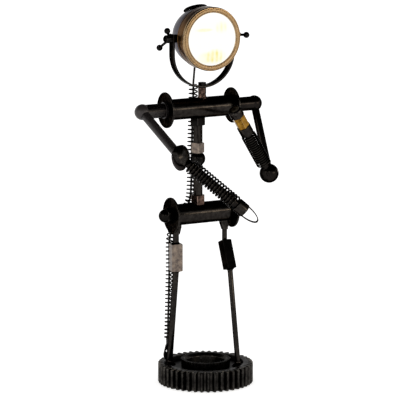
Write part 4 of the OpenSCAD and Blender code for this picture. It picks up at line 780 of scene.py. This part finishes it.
# %% Stirrup and headlamp
turn = np.linspace(0, np.pi, 65)
arc = np.stack([4 - 56.5 * np.cos(turn), 0 * turn + 20, 559 - 56.5 * np.sin(turn)], axis=1)
side = np.linspace(593.9, 562, 9)
strip = np.concatenate([np.stack([0 * side - 52.5, 0 * side + 20, side], 1), arc,
                        np.stack([0 * side + 60.5, 0 * side + 20, side[::-1]], 1)])
bar = eased([(-8, -1.5), (8, -1.5), (8, 1.5), (-8, 1.5)], 0.5, 3)
points, faces, worn = carried(strip, 1, (0, 1, 0), section=bar[:, :2])
worn = np.concatenate([np.zeros(len(bar)), np.tile(bar[:, 2], len(strip)), np.zeros(len(bar))])
make("stirrup_strap", [(points, faces, worn * 0.8)], "stirrup", "dark_lacquered_steel", "yoke")

on_head = place(PIVOT, (0, -1, 0), (1, 0, 0))
a = np.linspace(0.001, np.pi / 2, 40)
outer = np.stack([50 * np.sin(a), 4 - 58 * np.cos(a)], axis=1)
inner = np.stack([48.8 * np.sin(a), 4 - 56.8 * np.cos(a)], axis=1)
outer[0, 0] = inner[0, 0] = 0
bowl = np.concatenate([outer, [[50, 12], [50, 29.1], [48.8, 29.1]], inner[::-1]])
make("lamp_bowl", [turned(bowl, on_head, 160)], "head", "satin_nickel", "head_bowl", smooth=50)
band = eased([(50.05, 10), (51.9, 10), (52.7, 10.8), (52.7, 12.6), (52.3, 13.0), (52.3, 13.8), (52.7, 14.2),
              (52.7, 30.9), (50.05, 30.9)], 0.35, 4)
make("lamp_band", [turned(band, on_head, 160)], "head", "antique_bronze", "head_band")
bezel = eased([(50.4, 31.05), (53.5, 31.05), (53.5, 34.4), (52.6, 36.3), (51.2, 36.6), (50.9, 35.9),
               (50.2, 35.9), (49.9, 36.9), (46.6, 36.9), (46.2, 36.2), (45.7, 36.2), (45.3, 36.9),
               (44.6, 36.7), (44.05, 35.6), (44.05, 34.95), (50.4, 34.95)], 0.35, 5)
make("lamp_bezel", [turned(bezel, on_head, 192)], "head", "pale_spun_brass", "bezel_ring", smooth=40)

r = np.linspace(0, 43.6, 40)
front = np.stack([r, 34.9 + 2.85 * (1 - (r / 43.7) ** 2)], axis=1)
glass = np.concatenate([[[0, 31.6]], [[49.9, 31.6], [49.9, 34.85]], front[::-1]])
points, faces, worn = turned(glass, on_head, 240)
bulged = 20 - points[:, 1] > 34.95
points[:, 1] += bulged * 0.14 * (1 + np.sin((points[:, 0] - 4) * 2 * np.pi / FLUTE_MM))
make("lamp_lens", [(points, faces, worn)], "head", "pressed_lamp_glass", "lens", smooth=60)

vent_out = np.array([0, 0.429, 0.903])
at_vent = place(np.array([4, 44, 629.8]) + 0.35 * vent_out, vent_out)
cap = eased([(0, 0), (20.4, 0), (20.1, 1.0), (19.0, 1.9), (8, 2.45), (6.5, 2.0), (0, 2.0)], 0.4, 4)
make("lamp_vent", [turned(cap, at_vent, 96), turned(disc(5, -4, 0.4), at_vent, 48)], "head",
     "dark_lacquered_steel", "vent_cap")

# %% Wing nuts
def wing_nut(name, side, degrees, node):
    """A ball-ended wing nut: a tapered hub and two slim arms that flare a little into their balls."""
    a = math.radians(degrees)
    at = place(PIVOT, (side, 0, 0), (0, -math.sin(a), math.cos(a)))
    hub = eased([(4.05, 58.3), (7.5, 58.3), (7.1, 61.5), (6.5, 69.3), (4.05, 69.3)], 0.6, 5)
    surfaces = [turned(hub, at, 64)]
    for way in (-1, 1):
        along = np.linspace(0, 1, 16)[:, None]
        start, tip = np.array([way * 5, 0, 63.8]), np.array([way * 21, 0, 72.6])
        line = put(start + along * (tip - start), at)
        thick = 2.6 - 0.45 * np.sin(np.pi * along[:, 0])
        surfaces += [carried(line, thick, at[1][:, 1], 24, wear=0.1),
                     turned(ball(5.2), place(put(tip, at)), 48)]
    make(name, surfaces, "wing_left" if side < 0 else "wing_right", "dark_lacquered_steel", node)


wing_nut("left_wing", -1, 42, "left_wing_nut")
wing_nut("right_wing", 1, 87, "right_wing_nut")

# %% [markdown]
# ## Arms
#
# The left arm hangs forward from its axle to a domed knob, and its forearm crosses the
# body to a strap loop. The right arm drops to a split ball, and its forearm folds back up
# to a brass hexagon. Each forearm is a rod with an open spring round it.

# %% Left arm
LEFT_BALL, RIGHT_BALL = np.array([-108, 20, SHOULDER_Z]), np.array([103.4, 20, SHOULDER_Z])
left_up_dir, left_axis = unit([10.4, -112, -57.6]), unit([0.46, -0.84, 0.28])
left_dir = unit([0.722, -0.221, -0.655])
LEFT_ELBOW = LEFT_BALL + 126.4 * left_up_dir
right_up_dir, right_axis = unit([0, -0.428, -0.904]), unit([0.690, -0.654, 0.310])
RIGHT_ELBOW = RIGHT_BALL + 123.9 * right_up_dir
right_dir = np.array([-0.567, -0.223, 0.793])
right_dir = unit(right_dir - (right_dir @ right_axis) * right_axis)

at_left_elbow = place(LEFT_ELBOW, left_axis, (0, 0, 1))
elbow_low = put(np.array([-5.0, 0, 0]), at_left_elbow)
axle = eased([(0, -58), (13.75, -58), (13.75, -62), (12, -62), (12, -66.3), (13.7, -66.3), (13.7, -69.1),
              (12, -69.1), (12, -104), (0, -104)], 0.5, 4)
reach = 126.4 - (3.2 + 7.7 * math.sqrt(1 - (left_up_dir @ left_axis) ** 2)) / abs(left_up_dir @ left_axis)
make("left_arm", [turned(axle, along_x(0, SHOULDER_Z), 96),
                  turned(ball(13.25), place(LEFT_BALL, (1, 0, 0)), 96),
     rod(LEFT_BALL + 8 * left_up_dir, LEFT_BALL + reach * left_up_dir, 7.7),
     turned(disc(19, -2.95, -0.05, 0, 0.5), place(elbow_low, left_axis)),
     turned(disc(4, -1, 7.9), at_left_elbow)], "upper_arm_left", "blacked_steel")
knob = [(0, 0.35), (16.9, 0.35), (17.25, 0.9), (17.25, 8.7)] + [
    (x, 14.25 - 32.4 + math.sqrt(32.4**2 - x * x)) for x in (16.6, 15.0, 12, 9, 6, 3, 0)]
make("left_knob", [turned(eased(knob, 0.5, 4), at_left_elbow, 96)], "forearm_left", "dark_lacquered_steel",
     "left_elbow_knob", smooth=50)


def forearm_spring(name, at, body, start, sleeve_at, wire, curls, node):
    """An open spring round a forearm's rod, hooked in to the rod at the elbow and ending on the sleeve."""
    r = (25.5 - wire) / 2
    last = sleeve_at - 0.15
    top = last - wire - 1
    rings = 24
    turn = 2 * np.pi * np.arange(curls * rings + 1) / rings
    s = start + (top - start) * turn / turn[-1]
    coil = np.stack([r * np.cos(turn), r * np.sin(turn), s], axis=1)
    hook = np.array([[7.3 + wire / 2, -1.2, start + 0.2], [(7.5 + r) / 2, -1.6, start]])
    finish = np.array([[r * 0.995, 1.2, top + 0.5 * (last - top)], [r, 2.0, last - wire / 2]])
    path = put(np.concatenate([hook, coil, finish]), at)
    make(name, [carried(path, wire / 2, at[1][:, 2], 10, wear=0.25)], body, "spring_wire", node)


at_left_hand = place(LEFT_ELBOW, left_dir, left_axis)
forearm_spring("left_spring", at_left_hand, "forearm_left", 24, 127, 3.0, 17, "left_forearm_spring")
sleeve = eased([(7.05, 127), (11.7, 127), (11.7, 144.9), (7.05, 144.9)], 0.9, 5)
make("left_sleeve", [turned(sleeve, at_left_hand, 96), turned(disc(7.2, 143, 144.9), at_left_hand)],
     "forearm_left", "blacked_steel", "left_hand_sleeve")
loop_side = unit(np.cross(left_dir, AWAY))
turn = np.linspace(-np.pi / 2, np.pi / 2, 49)
loop = LEFT_ELBOW + (145 + 27.4 * np.cos(turn))[:, None] * left_dir
loop = loop + (9.3 * np.sin(turn))[:, None] * loop_side
strap = eased([(-3, -0.85), (3, -0.85), (3, 0.85), (-3, 0.85)], 0.4, 3)
face = np.cross(loop_side, left_dir)
points, faces, worn = carried(loop, 1, face, section=strap[:, :2])
worn = np.concatenate([np.zeros(len(strap)), np.tile(strap[:, 2], len(loop)), np.zeros(len(strap))])
make("left_loop", [(points, faces, worn)], "forearm_left", "dark_lacquered_steel", "left_hand_loop")

# %% Right arm
at_right_hand = place(RIGHT_ELBOW, right_dir, right_axis)
forearm_spring("right_spring", at_right_hand, "forearm_right", 23, 95, 2.8, 15, "right_forearm_spring")
cuff = eased([(7.05, 95), (11.5, 95), (11.5, 112), (7.05, 112)], 0.9, 5)
end_cap = eased([(7.05, 136), (11.5, 136), (11.5, 147), (10.8, 149.4), (8.6, 150.8), (5, 151), (0, 151),
                 (0, 144), (7.05, 144)],
                0.9, 6)
make("right_sleeves", [turned(cuff, at_right_hand, 96), turned(end_cap, at_right_hand, 96)], "forearm_right",
     "blacked_steel", "right_hand_sleeves")
make("right_hexagon", [faceted(6, 19.6, 112, 136, at_right_hand, 0, 7.05, 1.13)], "forearm_right",
     "polished_brass", "right_hand_hex")

# %% [markdown]
# ## Parts that keep their drawn shape
#
# Small turned and hidden parts already have the right shape, so they only take a finish.

# %% Finishes on the frame's own parts
KEPT = {
    "reflector": "silvered_mirror", "lampholder": "black_abs", "bulb": "bulb_glass",
    "lens_gasket": "black_rubber", "lead_gland": "black_rubber", "pivot_studs": "dark_lacquered_steel",
    "switch_bush": "satin_nickel", "switch_lever": "satin_nickel", "bezel_screw": "bare_worn_steel",
    "right_upper_arm": "blacked_steel", "right_forearm_rod": "blacked_steel",
    "right_elbow_pin": "bare_worn_steel", "left_forearm_rod": "blacked_steel",
}
for node, finish in KEPT.items():
    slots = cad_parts[node].data.materials
    slots.clear()
    slots.append(materials[finish])
print("kept:", len(KEPT), "drawn parts")

# %% [markdown]
# ## Table and light
#
# The lamp stands in a white studio. Polished dark metal shows what stands around it: white
# walls give it a faint even sheen, a long softbox to the right of the camera draws a pale
# band along each tube, a tall one on the left lights the upright edges, a small one above
# the camera fills in, and a dark ceiling keeps the tops of the tubes black.

# %% Floor and ceiling
def flat(name, x, y, z, material):
    """A flat rectangle of the studio, from -x to x and -y to y."""
    mesh = bpy.data.meshes.new(name)
    mesh.from_pydata([(-x, -y, z), (x, -y, z), (x, y, z), (-x, y, z)], [], [(0, 1, 2, 3)])
    mesh.materials.append(material)
    piece = bpy.data.objects.new(name, mesh)
    bpy.context.scene.collection.objects.link(piece)
    return piece


tree, shader, coordinates = new_material("white_table")
shader.inputs["Base Color"].default_value = linear("#e6e6e6")
shader.inputs["Roughness"].default_value = 0.9
shader.inputs["Specular IOR Level"].default_value = 0.1
shader.inputs["Emission Color"].default_value = (1, 1, 1, 1)
shader.inputs["Emission Strength"].default_value = 0.55
flat("table", 30, 30, -0.0002, materials["white_table"])

tree, shader, coordinates = new_material("black_cloth")
shader.inputs["Base Color"].default_value = (0, 0, 0, 1)
shader.inputs["Specular IOR Level"].default_value = 0
ceiling = flat("ceiling", 5, 5, 3.0, materials["black_cloth"])
for kind in ("camera", "diffuse", "shadow", "transmission"):
    setattr(ceiling, "visible_" + kind, False)


# %% World and lamps
world = bpy.data.worlds.new("studio")
bpy.context.scene.world = world
world.use_nodes = True
tree = world.node_tree
rays = add(tree, "ShaderNodeLightPath").outputs
seen = math_node(tree, "MAXIMUM", rays["Is Camera Ray"], math_node(tree, "MAXIMUM", rays["Is Glossy Ray"],
                 rays["Is Transmission Ray"]))
tree.links.new(ranged(tree, seen, 0, 1, 0.8, 1.0), tree.nodes["Background"].inputs["Strength"])
tree.nodes["Background"].inputs["Color"].default_value = (1, 1, 1, 1)


def softbox(name, azimuth, elevation, distance, wide, tall, radiance, colour):
    """A rectangular lamp that faces the robot's middle. Its power is radiance x pi x area."""
    data = bpy.data.lights.new(name, "AREA")
    data.shape = "RECTANGLE"
    data.size, data.size_y = wide, tall
    data.energy = radiance * math.pi * wide * tall
    data.color = linear(colour)[:3]
    piece = bpy.data.objects.new(name, data)
    bpy.context.scene.collection.objects.link(piece)
    a, e = math.radians(azimuth), math.radians(elevation)
    aim = Vector((0, 0.02, 0.35))
    toward = Vector((-math.sin(a) * math.cos(e), -math.cos(a) * math.cos(e), math.sin(e)))
    piece.location = aim + distance * toward
    piece.rotation_euler = (-toward).to_track_quat("-Z", "Y").to_euler()
    piece.visible_camera = False


softbox("key", -30, 10, 5.5, 2.8, 0.55, 11, "#ffefd6")
softbox("side", 72, 14, 4.5, 0.5, 1.6, 9, "#fff6ea")
softbox("front", 26, 22, 5.5, 0.9, 0.5, 9, "#fff4e4")

# %% [markdown]
# ## Tones and face counts
#
# The picture keeps plain tones, and the face count of each made piece is printed.

# %% Finish
bpy.context.scene.view_settings.view_transform = "Standard"
for name, faces in made:
    print(f"{name}: {faces} faces")
print("pieces:", len(made), "faces:", sum(faces for _, faces in made))
